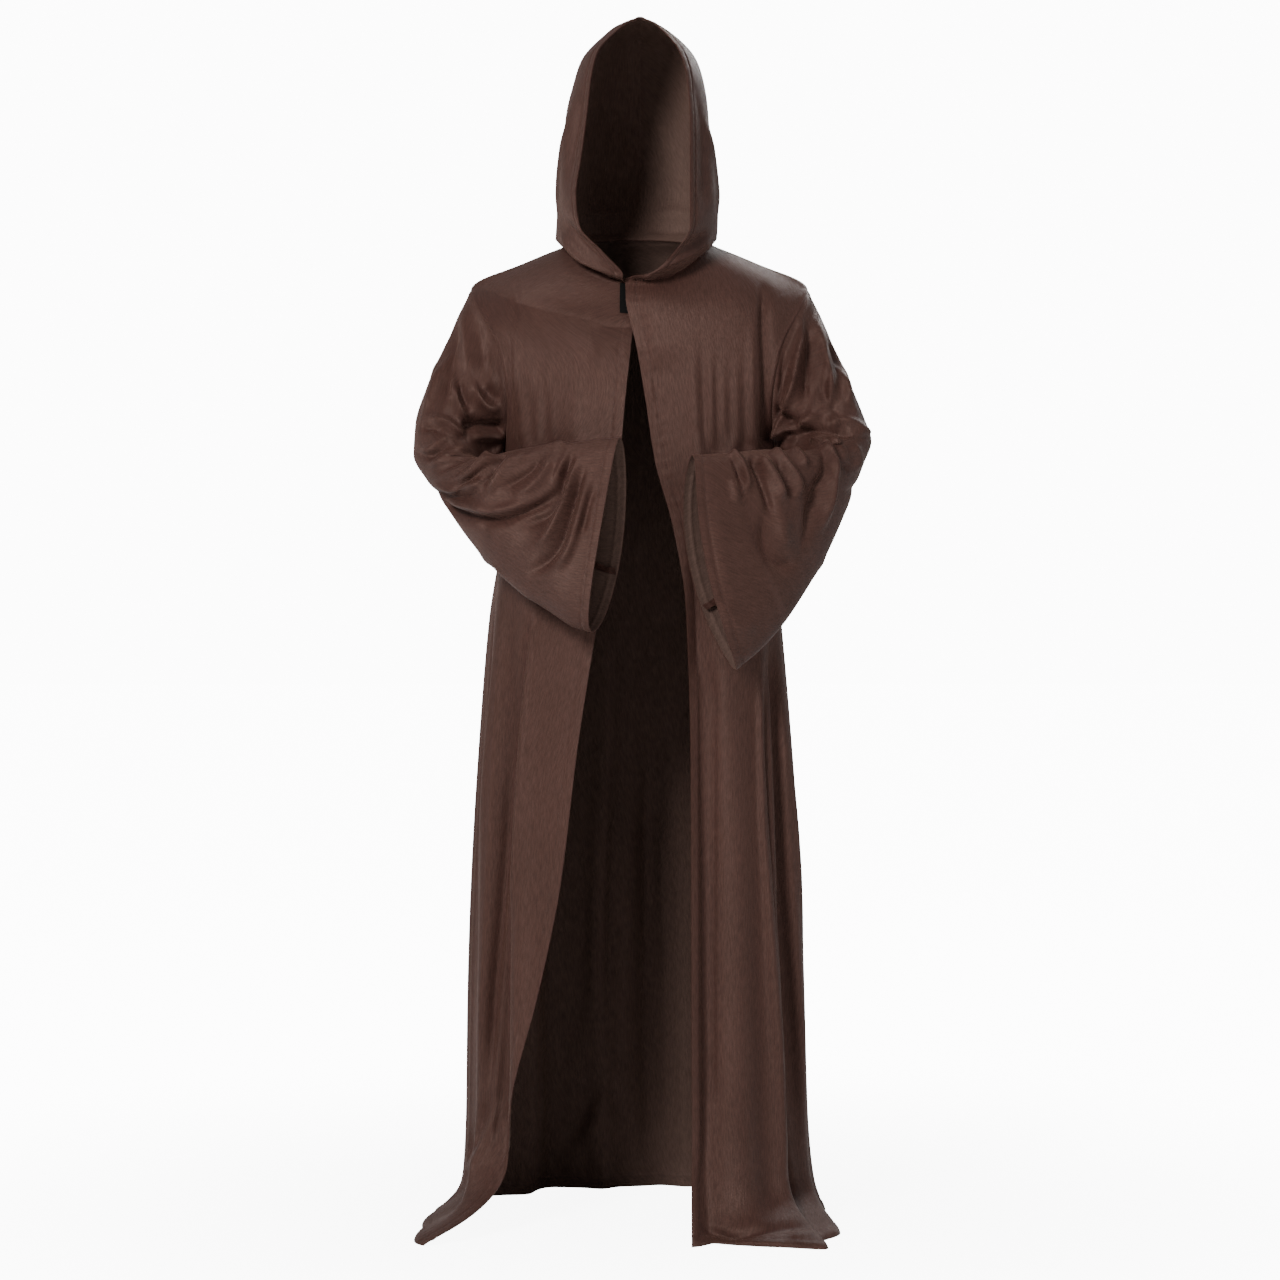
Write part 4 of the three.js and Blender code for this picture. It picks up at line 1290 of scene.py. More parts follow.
def sew(node: str, points: Array, doubled: Array, is_tube: bool = False) -> bpy.types.Object:
    """Makes the cloth of a sheet and puts it in its node's place.

    Args:
        node: The node.
        points: The middle of the cloth, with its hems and seams raised.
        doubled: From 0 to 1, where the cloth is doubled by a hem.
        is_tube: Whether its last column lies on its first.

    Returns:
        The piece.
    """
    piece = shell(f"{node}_cloth", points, lerp(SINGLE_CLOTH, 1, doubled), is_tube)
    dress(piece, "brown_knit", node)
    return piece


RIGHT_FRONT_CREASES: Creases = {
    View.PHOTO: [
        Crease(((512, 276), (516, 300), (512, 330)), 5, -3.5),
        Crease(((509, 325), (509, 380), (509, 436)), 5, -5),
        Crease(((520, 350), (521, 400), (520, 440)), 5, 3, 0, 0.5, 0.05),
        Crease(((530, 365), (530, 405), (531, 442)), 4, -2.5, 0, 0.5, 0.05),
        Crease(((538, 352), (538, 400), (537, 442)), 4, 2.5, 0, 0.5, 0.05),
        Crease(((546, 370), (546, 405), (545, 442)), 4, -2.5, 0, 0.5, 0.05),
        Crease(((553, 360), (553, 405), (553, 442)), 4, 2.5, 0, 0.5, 0.05),
        Crease(((572, 340), (575, 380), (574, 440)), 9, 2.0, 0, 0.5, 0.05),
        Crease(((596, 296), (590, 330), (592, 380)), 12, 1.8),
        Crease(
            ((541, 590), (524, 700), (513, 880), (504, 1000), (497, 1100), (490, 1160)), 5, 8, -0.5, 0.1, 0.1
        ),
        Crease(((533, 600), (514, 720), (504, 880), (494, 1000), (487, 1100)), 7.5, -13, 0.3, 0.15, 0.2),
        Crease(((504, 590), (495, 760), (488, 900), (483, 1000), (479, 1090)), 6, 6, 0, 0.2, 0.3),
        Crease(((500, 1098), (485, 1140), (464, 1180), (440, 1215), (420, 1236)), 5, 5, -0.4, 0.2, 0.1),
        Crease(((491, 1092), (478, 1130), (463, 1165)), 7, -7, 0, 0.3, 0.3),
        Crease(((470, 1165), (462, 1188), (455, 1204)), 5, 4, 0, 0.3, 0.3),
        Crease(((449, 1192), (442, 1212), (425, 1230)), 4, -3, 0, 0.3, 0.3),
    ],
    View.RIGHT: [
        Crease(((70, 560), (74, 800), (66, 1100), (78, 1380)), 8, 6.4, 0.3, 0.4, 0.1),
        Crease(((120, 640), (126, 860), (134, 1120)), 7, -6.4, 0, 0.4, 0.3),
        Crease(((30, 480), (34, 760), (28, 1000)), 9, -6.4, 0.2, 0.4, 0.4),
    ],
}
LEFT_FRONT_CREASES: Creases = {
    View.PHOTO: [
        Crease(((762, 276), (763, 330), (765, 400), (764, 446)), 6, -14, 0.4, 0.25, 0.05),
        Crease(((752, 300), (752, 370), (753, 446)), 6, 4, 0, 0.5, 0.05),
        Crease(((744, 350), (744, 405), (745, 448)), 4.5, -2, 0, 0.7, 0.05),
        Crease(((737, 335), (737, 395), (738, 448)), 5, 2, 0, 0.7, 0.05),
        Crease(((730, 350), (730, 405), (731, 448)), 4.5, -1.8, 0, 0.7, 0.05),
        Crease(((723, 340), (723, 395), (724, 448)), 5, 1.8, 0, 0.7, 0.05),
        Crease(((716, 340), (717, 395), (718, 448)), 4.5, -2.2, 0, 0.7, 0.05),
        Crease(((709, 325), (711, 390), (713, 450)), 4.5, 3, 0, 0.6, 0.05),
        Crease(((702, 325), (704, 390), (706, 452)), 4.5, -4, -0.3, 0.6, 0.05),
        Crease(((692, 330), (694, 390), (697, 450)), 7, 2.5, 0, 0.5, 0.05),
        Crease(((697, 424), (697, 438), (698, 452)), 5, -3),
        Crease(((645, 292), (652, 330), (650, 380), (646, 420)), 7, 2.5, 0.3),
        Crease(((637, 300), (641, 330), (643, 352)), 4, -2.5, 0),
        Crease(((697, 640), (696, 800), (697, 1000), (697, 1190)), 6, 6, 0, 0.1, 0.1),
        Crease(((713, 655), (712, 800), (711, 1000), (712, 1170)), 9, -11, -0.3, 0.1, 0.2),
        Crease(
            ((760, 640), (762, 800), (768, 900), (779, 1050), (786, 1150), (800, 1215)), 5, 8, 0.4, 0.1, 0.1
        ),
        Crease(((768, 640), (772, 800), (779, 900), (791, 1050), (799, 1150)), 7, -11, 0, 0.1, 0.2),
        Crease(((775, 640), (784, 800), (792, 900), (801, 1040), (807, 1130)), 5, 7, 0.3, 0.1, 0.3),
        Crease(((697, 1224), (730, 1237), (762, 1230), (800, 1226), (828, 1229)), 6, -9, 0, 0.15, 0.2),
        Crease(((697, 1244), (750, 1244), (800, 1246)), 6, 5, 0, 0.1, 0.3),
        Crease(((780, 1242), (804, 1233), (828, 1229), (839, 1240)), 4, 6, 0, 0.3, 0.2),
        Crease(((812, 1190), (822, 1205), (836, 1218)), 5, 4, 0, 0.3, 0.3),
    ],
    View.LEFT: [
        Crease(((-60, 560), (-66, 800), (-60, 1100), (-74, 1380)), 8, 6.4, 0.3, 0.4, 0.1),
        Crease(((-112, 620), (-118, 860), (-128, 1120)), 7, -6.4, 0, 0.4, 0.3),
        Crease(((-26, 480), (-30, 760), (-24, 1000)), 9, -6.4, 0.2, 0.4, 0.4),
    ],
}
BACK_CREASES: Creases = {
    View.INSIDE: [
        Crease(
            ((618, 760), (613, 860), (609, 960), (602, 1070), (586, 1110), (560, 1148)), 9, -9.1, 0, 0.2, 0.1
        ),
        Crease(((646, 780), (645, 900), (644, 1050), (646, 1180)), 10, -7.8, 0.2, 0.2, 0.1),
        Crease(((630, 770), (628, 900), (624, 1060), (612, 1130)), 8, 6.5, 0, 0.3, 0.3),
        Crease(((676, 820), (676, 950), (674, 1080), (676, 1185)), 8, -7.8, 0, 0.2, 0.1),
        Crease(((662, 800), (661, 950), (660, 1100)), 8, 5.2, 0, 0.3, 0.3),
        Crease(((597, 1112), (584, 1140), (566, 1182)), 6, 6.5, 0, 0.2, 0.2),
        Crease(((612, 1070), (614, 1095), (619, 1120)), 6, -6.5),
        Crease(((596, 900), (590, 1000), (578, 1080)), 8, 6.5, 0, 0.3, 0.3),
    ],
    View.BACK: [
        Crease(((-150, 120), (-120, 200), (-112, 330), (-118, 470)), 13, 9, 0.3, 0.3, 0.5),
        Crease(((-92, 170), (-84, 290), (-92, 430), (-88, 600)), 10, -8.1, 0, 0.3, 0.4),
        Crease(((-60, 130), (-48, 260), (-52, 420)), 11, 6.3, -0.3, 0.4, 0.5),
        Crease(((146, 110), (128, 200), (120, 320), (128, 480)), 13, 9, -0.2, 0.3, 0.5),
        Crease(((98, 180), (86, 300), (90, 450), (96, 640)), 10, -8.1, 0, 0.3, 0.4),
        Crease(((44, 150), (50, 290), (46, 440)), 11, 5.4, 0.3, 0.4, 0.5),
        Crease(((4, 90), (-4, 220), (2, 400), (-6, 560)), 12, -5.4, 0, 0.4, 0.4),
        Crease(((-172, 300), (-168, 460), (-178, 640), (-170, 860)), 10, 9, 0.2, 0.4, 0.4),
        Crease(((168, 320), (174, 480), (166, 660), (176, 900)), 10, 9, -0.2, 0.4, 0.4),
        Crease(((-20, 700), (-16, 900), (-28, 1120), (-22, 1400)), 9, 9, 0.3, 0.4, 0.05),
        Crease(((62, 760), (70, 980), (64, 1200), (74, 1440)), 9, -9, 0, 0.4, 0.05),
        Crease(((-128, 820), (-136, 1040), (-130, 1250)), 8, 7.2, 0, 0.4, 0.3),
        Crease(((150, 900), (146, 1100), (156, 1320)), 8, 7.2, 0, 0.4, 0.3),
    ],
}
RIGHT_SLEEVE_CREASES: Creases = {
    View.PHOTO: [
        Crease(((459, 318), (453, 345), (450, 375), (445, 408)), 8, -9.4),
        Crease(((467, 300), (465, 330), (468, 360), (474, 385)), 8, 7.5),
        Crease(((476, 318), (480, 345), (485, 372)), 6, -6.5),
        Crease(((486, 350), (491, 372), (494, 392)), 6.2, 5.7),
        Crease(((438, 352), (434, 385), (426, 412)), 7, 5.7),
        Crease(((452, 368), (455, 390), (460, 407), (468, 420)), 4.7, 13.2, -0.3),
        Crease(((459, 378), (464, 397), (473, 412)), 5.2, -11.3),
        Crease(((472, 376), (479, 396), (490, 407), (503, 409)), 4.7, 13.2, -0.3),
        Crease(((484, 385), (492, 396), (501, 400)), 5.2, -7.5),
        Crease(((420, 423), (432, 420), (446, 423), (457, 432), (467, 439)), 5.2, 11, 0.2, 0.4, 0.2),
        Crease(((418, 430), (430, 428), (443, 432)), 4.7, -11),
        Crease(((461, 427), (475, 424), (490, 427), (505, 428)), 6, -22.9, 0, 0.2, 0.05),
        Crease(
            ((465, 439), (486, 436), (507, 437), (522, 442), (553, 443), (575, 447)), 5.2, 11.3, 0, 0.15, 0.2
        ),
        Crease(((517, 444), (495, 449), (482, 463), (467, 474), (449, 482)), 4.7, 13.2, 0.3),
        Crease(((509, 449), (496, 462), (487, 476), (481, 489)), 4.2, -15.1, 0, 0.2, 0.3),
        Crease(((520, 450), (505, 466), (495, 482), (488, 494)), 5.2, 9.4, 0.2),
        Crease(((451, 434), (435, 446), (419, 454)), 4.7, 7),
        Crease(((453, 441), (438, 452), (425, 461)), 4.7, -7),
        Crease(((471, 449), (447, 457), (428, 468)), 4.7, 8),
        Crease(((475, 456), (453, 464), (433, 477)), 4.7, -6.5),
        Crease(((430, 484), (452, 489), (474, 486), (492, 476)), 5.2, 9.4),
        Crease(((432, 493), (456, 498), (481, 494)), 4.7, -9.4),
        Crease(
            ((434, 500), (462, 513), (490, 519), (515, 515), (542, 503), (561, 484)), 5.7, -17, -0.4, 0.1, 0.2
        ),
        Crease(((440, 495), (465, 505), (490, 510), (513, 507), (538, 494)), 6, 11.3, 0, 0.2, 0.3),
        Crease(((541, 452), (533, 468), (516, 481), (500, 489)), 6.2, -9.4),
        Crease(((550, 451), (546, 470), (529, 488), (508, 498)), 6.2, 9.4),
        Crease(((572, 448), (562, 466), (558, 478), (565, 485)), 4.7, 11.3),
        Crease(((575, 450), (566, 468), (556, 502), (541, 519), (512, 528)), 6.2, -15.1),
        Crease(((579, 452), (571, 480), (562, 506), (549, 534), (530, 549)), 6.2, 15.1, 0.2),
        Crease(((587, 463), (578, 484), (570, 510), (558, 547), (542, 566), (524, 575)), 6.2, -15.1, -0.2),
        Crease(((591, 474), (583, 503), (576, 527), (566, 554), (552, 572)), 6.2, 11.3),
        Crease(((597, 483), (588, 502), (583, 523), (577, 540)), 5.2, -9.4),
        Crease(((480, 560), (510, 590), (545, 608)), 14, 5.7),
    ],
    View.RIGHT: [
        Crease(((-40, 110), (-20, 180), (0, 250)), 10, 7),
        Crease(((0, 100), (16, 170), (30, 240)), 9, -7),
        Crease(((-60, 330), (-20, 345), (20, 350), (64, 342)), 7, -11.2, 0, 0.3, 0.3),
        Crease(((-52, 312), (-10, 322), (40, 318)), 7, 8.4),
        Crease(((10, 375), (60, 400), (110, 410)), 8, 5),
        Crease(((30, 350), (90, 372), (140, 378)), 7, -4.5),
        Crease(((60, 440), (110, 470), (160, 476)), 8, 7),
    ],
    View.BACK: [
        Crease(((238, 130), (262, 200), (286, 270)), 9, 7),
        Crease(((224, 170), (240, 240), (262, 310)), 8, -7),
        Crease(((300, 330), (260, 352), (216, 350)), 7, -11.2),
        Crease(((306, 350), (262, 378), (216, 384)), 7, 8.4),
        Crease(((280, 400), (236, 420), (190, 410)), 8, -8.4),
        Crease(((240, 440), (196, 460), (150, 446)), 8, 7),
    ],
}
LEFT_SLEEVE_CREASES: Creases = {
    View.PHOTO: [
        Crease(
            ((799, 304), (799, 337), (794, 362), (790, 388), (779, 422), (767, 443)), 5.7, 17, 0.4, 0.3, 0.1
        ),
        Crease(((785, 322), (782, 350), (781, 380), (777, 402)), 6, -11.3),
        Crease(((809, 318), (808, 355), (806, 385), (800, 406)), 6, -15.1),
        Crease(((817, 316), (821, 345), (828, 375), (830, 398), (821, 413)), 5.7, 15.1, 0.2),
        Crease(((829, 332), (837, 357), (841, 382)), 6.2, -11.3),
        Crease(((839, 352), (846, 380), (850, 408)), 6, 7.5),
        Crease(((774, 404), (782, 416), (796, 424), (804, 416)), 6, -20),
        Crease(((765, 446), (776, 434), (793, 427), (809, 421), (826, 418)), 7, 17.6, 0, 0.1, 0.3),
        Crease(((785, 431), (791, 434), (794, 430)), 3.7, -9.4),
        Crease(((825, 425), (849, 421), (871, 436)), 6, 7.8, 0, 0.2, 0.1),
        Crease(((790, 437), (812, 431), (832, 431), (847, 435), (860, 438)), 5, -13, 0, 0.2, 0.4),
        Crease(((728, 451), (741, 464), (747, 482), (745, 493)), 4.2, 13.2, 0.3, 0.15, 0.3),
        Crease(((731, 457), (739, 470), (741, 486)), 4.2, -9.4),
        Crease(((731, 478), (735, 492), (737, 504)), 5.2, 7.5),
        Crease(((750, 455), (760, 477), (768, 500), (774, 521)), 5.2, -15.1, 0, 0.15, 0.3),
        Crease(((759, 455), (776, 482), (785, 501)), 5.2, 13.2, 0.2, 0.15, 0.3),
        Crease(((766, 500), (764, 532), (770, 556), (785, 566), (801, 556)), 8, -11.3, 0, 0.3, 0.3),
        Crease(((783, 512), (783, 535), (790, 548)), 9, 7.5),
        Crease(((769, 449), (784, 463), (797, 484), (794, 504)), 4.7, 13.2, 0.3, 0.15, 0.3),
        Crease(((776, 457), (785, 476), (791, 500)), 4.7, -11.3),
        Crease(((780, 443), (800, 456), (806, 469)), 4.7, 11.3, 0, 0.15, 0.3),
        Crease(
            ((809, 436), (827, 447), (834, 467), (832, 485), (827, 512), (819, 538)), 5.2, 17, -0.3, 0.1, 0.3
        ),
        Crease(
            ((815, 438), (825, 456), (826, 472), (817, 486), (811, 506), (807, 532), (798, 559)), 5.7, -15.1
        ),
        Crease(((830, 437), (842, 451), (851, 479)), 5.2, 11.3, 0, 0.15, 0.4),
        Crease(((836, 442), (845, 460), (849, 476)), 5.2, -9.4, 0, 0.15, 0.4),
        Crease(((852, 442), (858, 456), (856, 474)), 5.2, 7.5),
        Crease(((720, 600), (735, 622), (760, 632)), 12, 5.7),
    ],
    View.LEFT: [
        Crease(((40, 110), (20, 180), (0, 250)), 10, 7),
        Crease(((0, 100), (-16, 170), (-30, 240)), 9, -7),
        Crease(((60, 318), (20, 330), (-20, 334), (-64, 326)), 7, -11.2, 0, 0.3, 0.3),
        Crease(((52, 300), (10, 308), (-40, 304)), 7, 8.4),
        Crease(((-10, 370), (-60, 392), (-110, 400)), 8, 5),
        Crease(((-30, 342), (-90, 364), (-140, 372)), 7, -4.5),
        Crease(((-60, 440), (-110, 470), (-160, 486)), 8, 7),
    ],
    View.BACK: [
        Crease(((-238, 130), (-262, 200), (-286, 270)), 9, 7),
        Crease(((-224, 170), (-240, 240), (-262, 310)), 8, -7),
        Crease(((-312, 320), (-270, 346), (-222, 350)), 7, -11.2),
        Crease(((-318, 350), (-276, 378), (-226, 386)), 7, 8.4),
        Crease(((-300, 410), (-256, 436), (-210, 430)), 8, -8.4),
        Crease(((-270, 480), (-226, 506), (-180, 496)), 8, 7),
    ],
}
RIGHT_HOOD_CREASES: Creases = {
    View.PHOTO: [
        Crease(((586, 70), (578, 120), (571, 160), (567, 195)), 6, -5.1, 0, 0.3, 0.3),
        Crease(((577, 84), (568, 130), (562, 180), (561, 222)), 7, 5.1, 0, 0.3, 0.3),
        Crease(((560, 232), (572, 250), (590, 266), (612, 275), (628, 279)), 5, 8.5, 0, 0.2, 0.1),
        Crease(((574, 262), (590, 272), (608, 280), (624, 279)), 4, -10.2, 0, 0.2, 0.1),
        Crease(((580, 268), (596, 279), (612, 287), (624, 287)), 4, 6.8, 0, 0.2, 0.1),
        Crease(((570, 214), (574, 232), (590, 250), (606, 262)), 5, -5.1),
    ],
    View.RIGHT: [
        Crease(((60, -200), (30, -120), (24, -40)), 12, 5.6),
        Crease(((20, -230), (-10, -130), (-30, -50)), 12, -5.6),
        Crease(((-60, -240), (-84, -140), (-70, -60)), 12, 5.6),
        Crease(((-30, -36), (-60, -46), (-98, -64)), 8, 5.6),
        Crease(((-24, -14), (-56, -22), (-92, -40)), 7, -4.2),
    ],
    View.BACK: [
        Crease(((12, -40), (60, -44), (100, -30)), 7, 6.4),
        Crease(((16, -66), (56, -72), (96, -60)), 8, -5.6),
        Crease(((20, -250), (40, -180), (44, -110)), 12, -4.8),
    ],
}
LEFT_HOOD_CREASES: Creases = {
    View.PHOTO: [
        Crease(((692, 74), (702, 120), (704, 170), (703, 215)), 7, -5.1, 0, 0.3, 0.3),
        Crease(((699, 90), (709, 140), (712, 190), (712, 228)), 7, 5.1, 0, 0.3, 0.3),
        Crease(((714, 234), (700, 246), (680, 258), (656, 268), (640, 280)), 4.5, 6.8, 0, 0.2, 0.1),
        Crease(((708, 230), (696, 242), (678, 252)), 5, -6.8),
    ],
    View.LEFT: [
        Crease(((-60, -200), (-30, -120), (-24, -40)), 12, 5.6),
        Crease(((-20, -230), (10, -130), (30, -50)), 12, -5.6),
        Crease(((60, -240), (84, -140), (70, -60)), 12, 5.6),
        Crease(((30, -38), (60, -48), (98, -62)), 8, 5.6),
        Crease(((26, -12), (58, -24), (94, -42)), 7, -4.2),
    ],
    View.BACK: [
        Crease(((-12, -42), (-60, -46), (-100, -30)), 7, 6.4),
        Crease(((-16, -70), (-56, -76), (-96, -62)), 8, -5.6),
        Crease(((-24, -240), (-42, -170), (-46, -100)), 12, -4.8),
    ],
}


# How far from a seam the creases grow in, in mm: from the sides and the armholes, from the body's neckline,
# from the hood's own seams and from the hood's neckline.
SEAM_HOLD = (0, 14)
NECKLINE_HOLD = (0, 12)
HOOD_SEAM_HOLD = (0, 12)
HOOD_NECK_HOLD = (0, 5)
# How many steps lie closer together at a hem.
HEM_STEPS = 8


@dataclass
class BodyPanels:
    """The two fronts and the back.

    Attributes:
        columns: The steps across a front.
        yoke_lines: The steps from the neckline to the shoulder's end.
        skirt_lines: The steps from the armpit to the hem.
        edge_hem: The width of the turned front edges in mm.
        floor_hem: The width of the bottom hem in mm.
        edge_steps: The share of a front's width that the steps at its open edge take.
        floor_steps: The share of the skirt's length that the steps at its hem take.
        lines: Where the stitches go.
    """

    columns: int = 86
    yoke_lines: int = 30
    skirt_lines: int = 190
    edge_hem: float = 16.0
    floor_hem: float = 18.0
    edge_steps: float = 0.07
    floor_steps: float = 0.02
    lines: list[Line] = field(default_factory=list)

    def rows(self) -> Array:
        """Spaces the body's rows, closer together at the bottom hem.

        Returns:
            The rows, counted from the neckline.
        """
        yoke = np.linspace(0, YOKE_ROWS, self.yoke_lines + 1)[:-1]
        armhole = np.linspace(YOKE_ROWS, ARMHOLE_END, ARMHOLE_LINES + 1)[:-1]
        skirt = ARMHOLE_END + SKIRT_ROWS * graded(self.skirt_lines, HEM_STEPS, self.floor_steps, False, True)
        return np.concatenate([yoke, armhole, skirt])

    def front(self, side: Side) -> bpy.types.Object:
        """Makes one front.

        Args:
            side: The wearer's side.

        Returns:
            The piece.
        """
        rows = self.rows()
        share = graded(self.columns, HEM_STEPS, self.edge_steps, side is Side.LEFT, side is Side.RIGHT)
        share = share if side is Side.LEFT else 1 - share
        row, across = np.meshgrid(rows, share, indexing="ij")
        at = ring_of(row)
        edge = angle_at(FRONT_EDGES.right(at) if side is Side.RIGHT else FRONT_EDGES.left(at), at)
        angle = lerp(edge, side.value * (90 - armhole_cut(row, ARMHOLE_FRONT)), across)
        surface = body_point if side is Side.RIGHT else left_front_point
        points = eased(surface(angle, at), at, side is Side.LEFT)
        normals = normals_of(points)
        at_end = side is Side.LEFT
        seam = from_edge(points, 1, at_end)
        creases = RIGHT_FRONT_CREASES if side is Side.RIGHT else LEFT_FRONT_CREASES
        held = smooth(seam, *SEAM_HOLD) * smooth(from_edge(points, 0, False), *NECKLINE_HOLD)
        points = creased(points, normals, creases, held)
        normals = normals_of(points)
        edge_hem = Hem(from_edge(points, 1, not at_end), self.edge_hem)
        floor_hem = Hem(from_edge(points, 0, True), self.floor_hem)
        down, over = lengths_along(points, 0), lengths_along(points, 1)
        relief = edge_hem.relief(down) + floor_hem.relief(over) + seam_puff(seam)
        relief = relief + seam_puff(from_edge(points, 0, False))
        points = points + normals * relief[..., None]
        doubled = np.maximum(edge_hem.weight(), floor_hem.weight())
        piece = sew(f"front_{side.name.lower()}", points, doubled)
        self.lines += [edge_hem.stitching(points, normals, 1), floor_hem.stitching(points, normals, 0)]
        return piece

    def back(self) -> bpy.types.Object:
        """Makes the back.

        Returns:
            The piece.
        """
        share = np.linspace(0, 1, 2 * self.columns - 20)
        row, across = np.meshgrid(self.rows(), share, indexing="ij")
        cut = armhole_cut(row, ARMHOLE_BACK)
        points = body_point(lerp(90 + cut, 270 - cut, across), ring_of(row))
        normals = normals_of(points)
        seam = np.minimum(from_edge(points, 1, False), from_edge(points, 1, True))
        held = smooth(seam, *SEAM_HOLD) * smooth(from_edge(points, 0, False), *NECKLINE_HOLD)
        points = creased(points, normals, BACK_CREASES, held)
        normals = normals_of(points)
        floor_hem = Hem(from_edge(points, 0, True), self.floor_hem)
        relief = floor_hem.relief(lengths_along(points, 1)) + seam_puff(seam)
        relief = relief + seam_puff(from_edge(points, 0, False))
        points = points + normals * relief[..., None]
        piece = sew("back", points, floor_hem.weight())
        self.lines.append(floor_hem.stitching(points, normals, 0))
        return piece

    def build(self) -> None:
        """Makes the panels and their stitching."""
        right, left = self.front(Side.RIGHT), self.front(Side.LEFT)
        back = self.back()
        sewn = stitches("body_stitches", self.lines)
        dress(sewn, "brown_knit")


@dataclass
class Sleeve:
    """One bell sleeve, with its hemmed cuff and the seam allowance that shows inside it.

    Attributes:
        side: The wearer's side.
        steps: The steps from the armhole to the cuff.
        lines: The steps round the sleeve.
        cuff_hem: The width of the cuff's hem in mm.
        cuff_steps: The share of the sleeve's length that the steps at the cuff take.
        allowance: The width of the seam allowance in mm.
        allowance_steps: How many of the sleeve's steps it runs along, up from the cuff.
    """

    side: Side
    steps: int = 204
    lines: int = 208
    cuff_hem: float = 13.0
    cuff_steps: float = 0.035
    allowance: float = 11.0
    allowance_steps: int = 72

    def surface(self, across: Array, station: Array) -> Array:
        """Gives the sleeve's points, its columns running to the right seen from outside."""
        return sleeve_point(self.side, across if self.side is Side.RIGHT else -across, station)

    def build(self) -> None:
        """Makes the sleeve, its stitching and its seam allowance."""
        name = self.side.name.lower()
        stations = LAST_STATION * graded(self.steps, HEM_STEPS, self.cuff_steps, False, True)
        station, turn = np.meshgrid(stations, np.linspace(0, 1, self.lines + 1), indexing="ij")
        points = self.surface(turn, station)
        normals = normals_of(points, True)
        creases = RIGHT_SLEEVE_CREASES if self.side is Side.RIGHT else LEFT_SLEEVE_CREASES
        start = from_edge(points, 0, False)
        points = creased(points, normals, creases, smooth(start, *SEAM_HOLD), True)
        normals = normals_of(points, True)
        hem = Hem(from_edge(points, 0, True), self.cuff_hem)
        relief = hem.relief(lengths_along(points, 1)) + seam_puff(start)
        points = points + normals * relief[..., None]
        piece = sew(f"sleeve_{name}", points, hem.weight(), True)
        sewn = stitches(f"cuff_{name}_stitches", [hem.stitching(points, normals, 0)])
        dress(sewn, "brown_knit")
        self.make_allowance(name, points, normals)

    def make_allowance(self, name: str, points: Array, normals: Array) -> None:
        """Makes the overlocked allowance that stands inside the underarm seam, near the cuff.

        Args:
            name: The side's name.
            points: The sleeve's points.
            normals: The directions out of it.
        """
        first = -1 - self.allowance_steps
        seam = points[first:-1, 0]
        inwards = -normals[first:-1, 0]
        over = unit(np.cross(inwards, np.gradient(seam, axis=0)))
        reach = np.linspace(0, self.allowance, 7)
        wave = 0.5 * np.sin(np.arange(len(seam)) / 2.6)
        rows = [seam + inwards * (1.0 + 0.5 * r + wave[:, None] * r / 6) + over * r * 0.8 for r in reach]
        strip = np.stack(rows, axis=1)
        piece = shell(f"allowance_{name}", strip, np.ones(strip.shape[:2]), thickness=0.9)
        dress(piece, "brown_knit")


@dataclass
class Hood:
    """The hood, in two halves that meet over the crown and down the back.

    Attributes:
        columns: The steps round one half.
        levels: The steps from the neckline to the crown.
        face_hem: The width of the hem round the face opening in mm.
        face_steps: The share of a half's width that the steps at the face opening take.
    """

    columns: int = 92
    levels: int = 150
    face_hem: float = 13.0
    face_steps: float = 0.045

    def half(self, side: Side) -> Line:
        """Makes one half.

        Args:
            side: The wearer's side.

        Returns:
            The line for its stitches and the directions out of the cloth there.
        """
        name = side.name.lower()
        share = graded(self.columns, HEM_STEPS, self.face_steps, side is Side.LEFT, side is Side.RIGHT)
        levels = np.linspace(0, HOOD_TABLE.last, self.levels + 1)
        level, across = np.meshgrid(levels, share, indexing="ij")
        points = hood_point(side, across if side is Side.LEFT else 1 - across, level)[::-1]
        normals = normals_of(points)
        creases = RIGHT_HOOD_CREASES if side is Side.RIGHT else LEFT_HOOD_CREASES
        at_end = side is Side.RIGHT
        back_seam = from_edge(points, 1, not at_end)
        crown_seam = from_edge(points, 0, False)
        neck_seam = from_edge(points, 0, True)
        held = smooth(back_seam, *HOOD_SEAM_HOLD) * smooth(crown_seam, *HOOD_SEAM_HOLD)
        held = held * smooth(neck_seam, *HOOD_NECK_HOLD)
        points = creased(points, normals, creases, held)
        normals = normals_of(points)
        hem = Hem(from_edge(points, 1, at_end), self.face_hem, 1.5)
        relief = hem.relief(lengths_along(points, 0))
        relief = relief + seam_puff(back_seam, 0.8, 5) + seam_puff(crown_seam, 0.8, 5)
        points = points + normals * relief[..., None]
        # Both halves meet on the middle plane, over the crown and down the back.
        points[0, :, 0] = 0
        points[:, 0 if at_end else -1, 0] = 0
        piece = sew(f"hood_{name}", points, hem.weight())
        return hem.stitching(points, normals, 1)

    def build(self) -> None:
        """Makes both halves and the stitching round the face opening."""
        lines = [self.half(side) for side in Side]
        dress(stitches("hood_stitches", lines), "brown_knit")


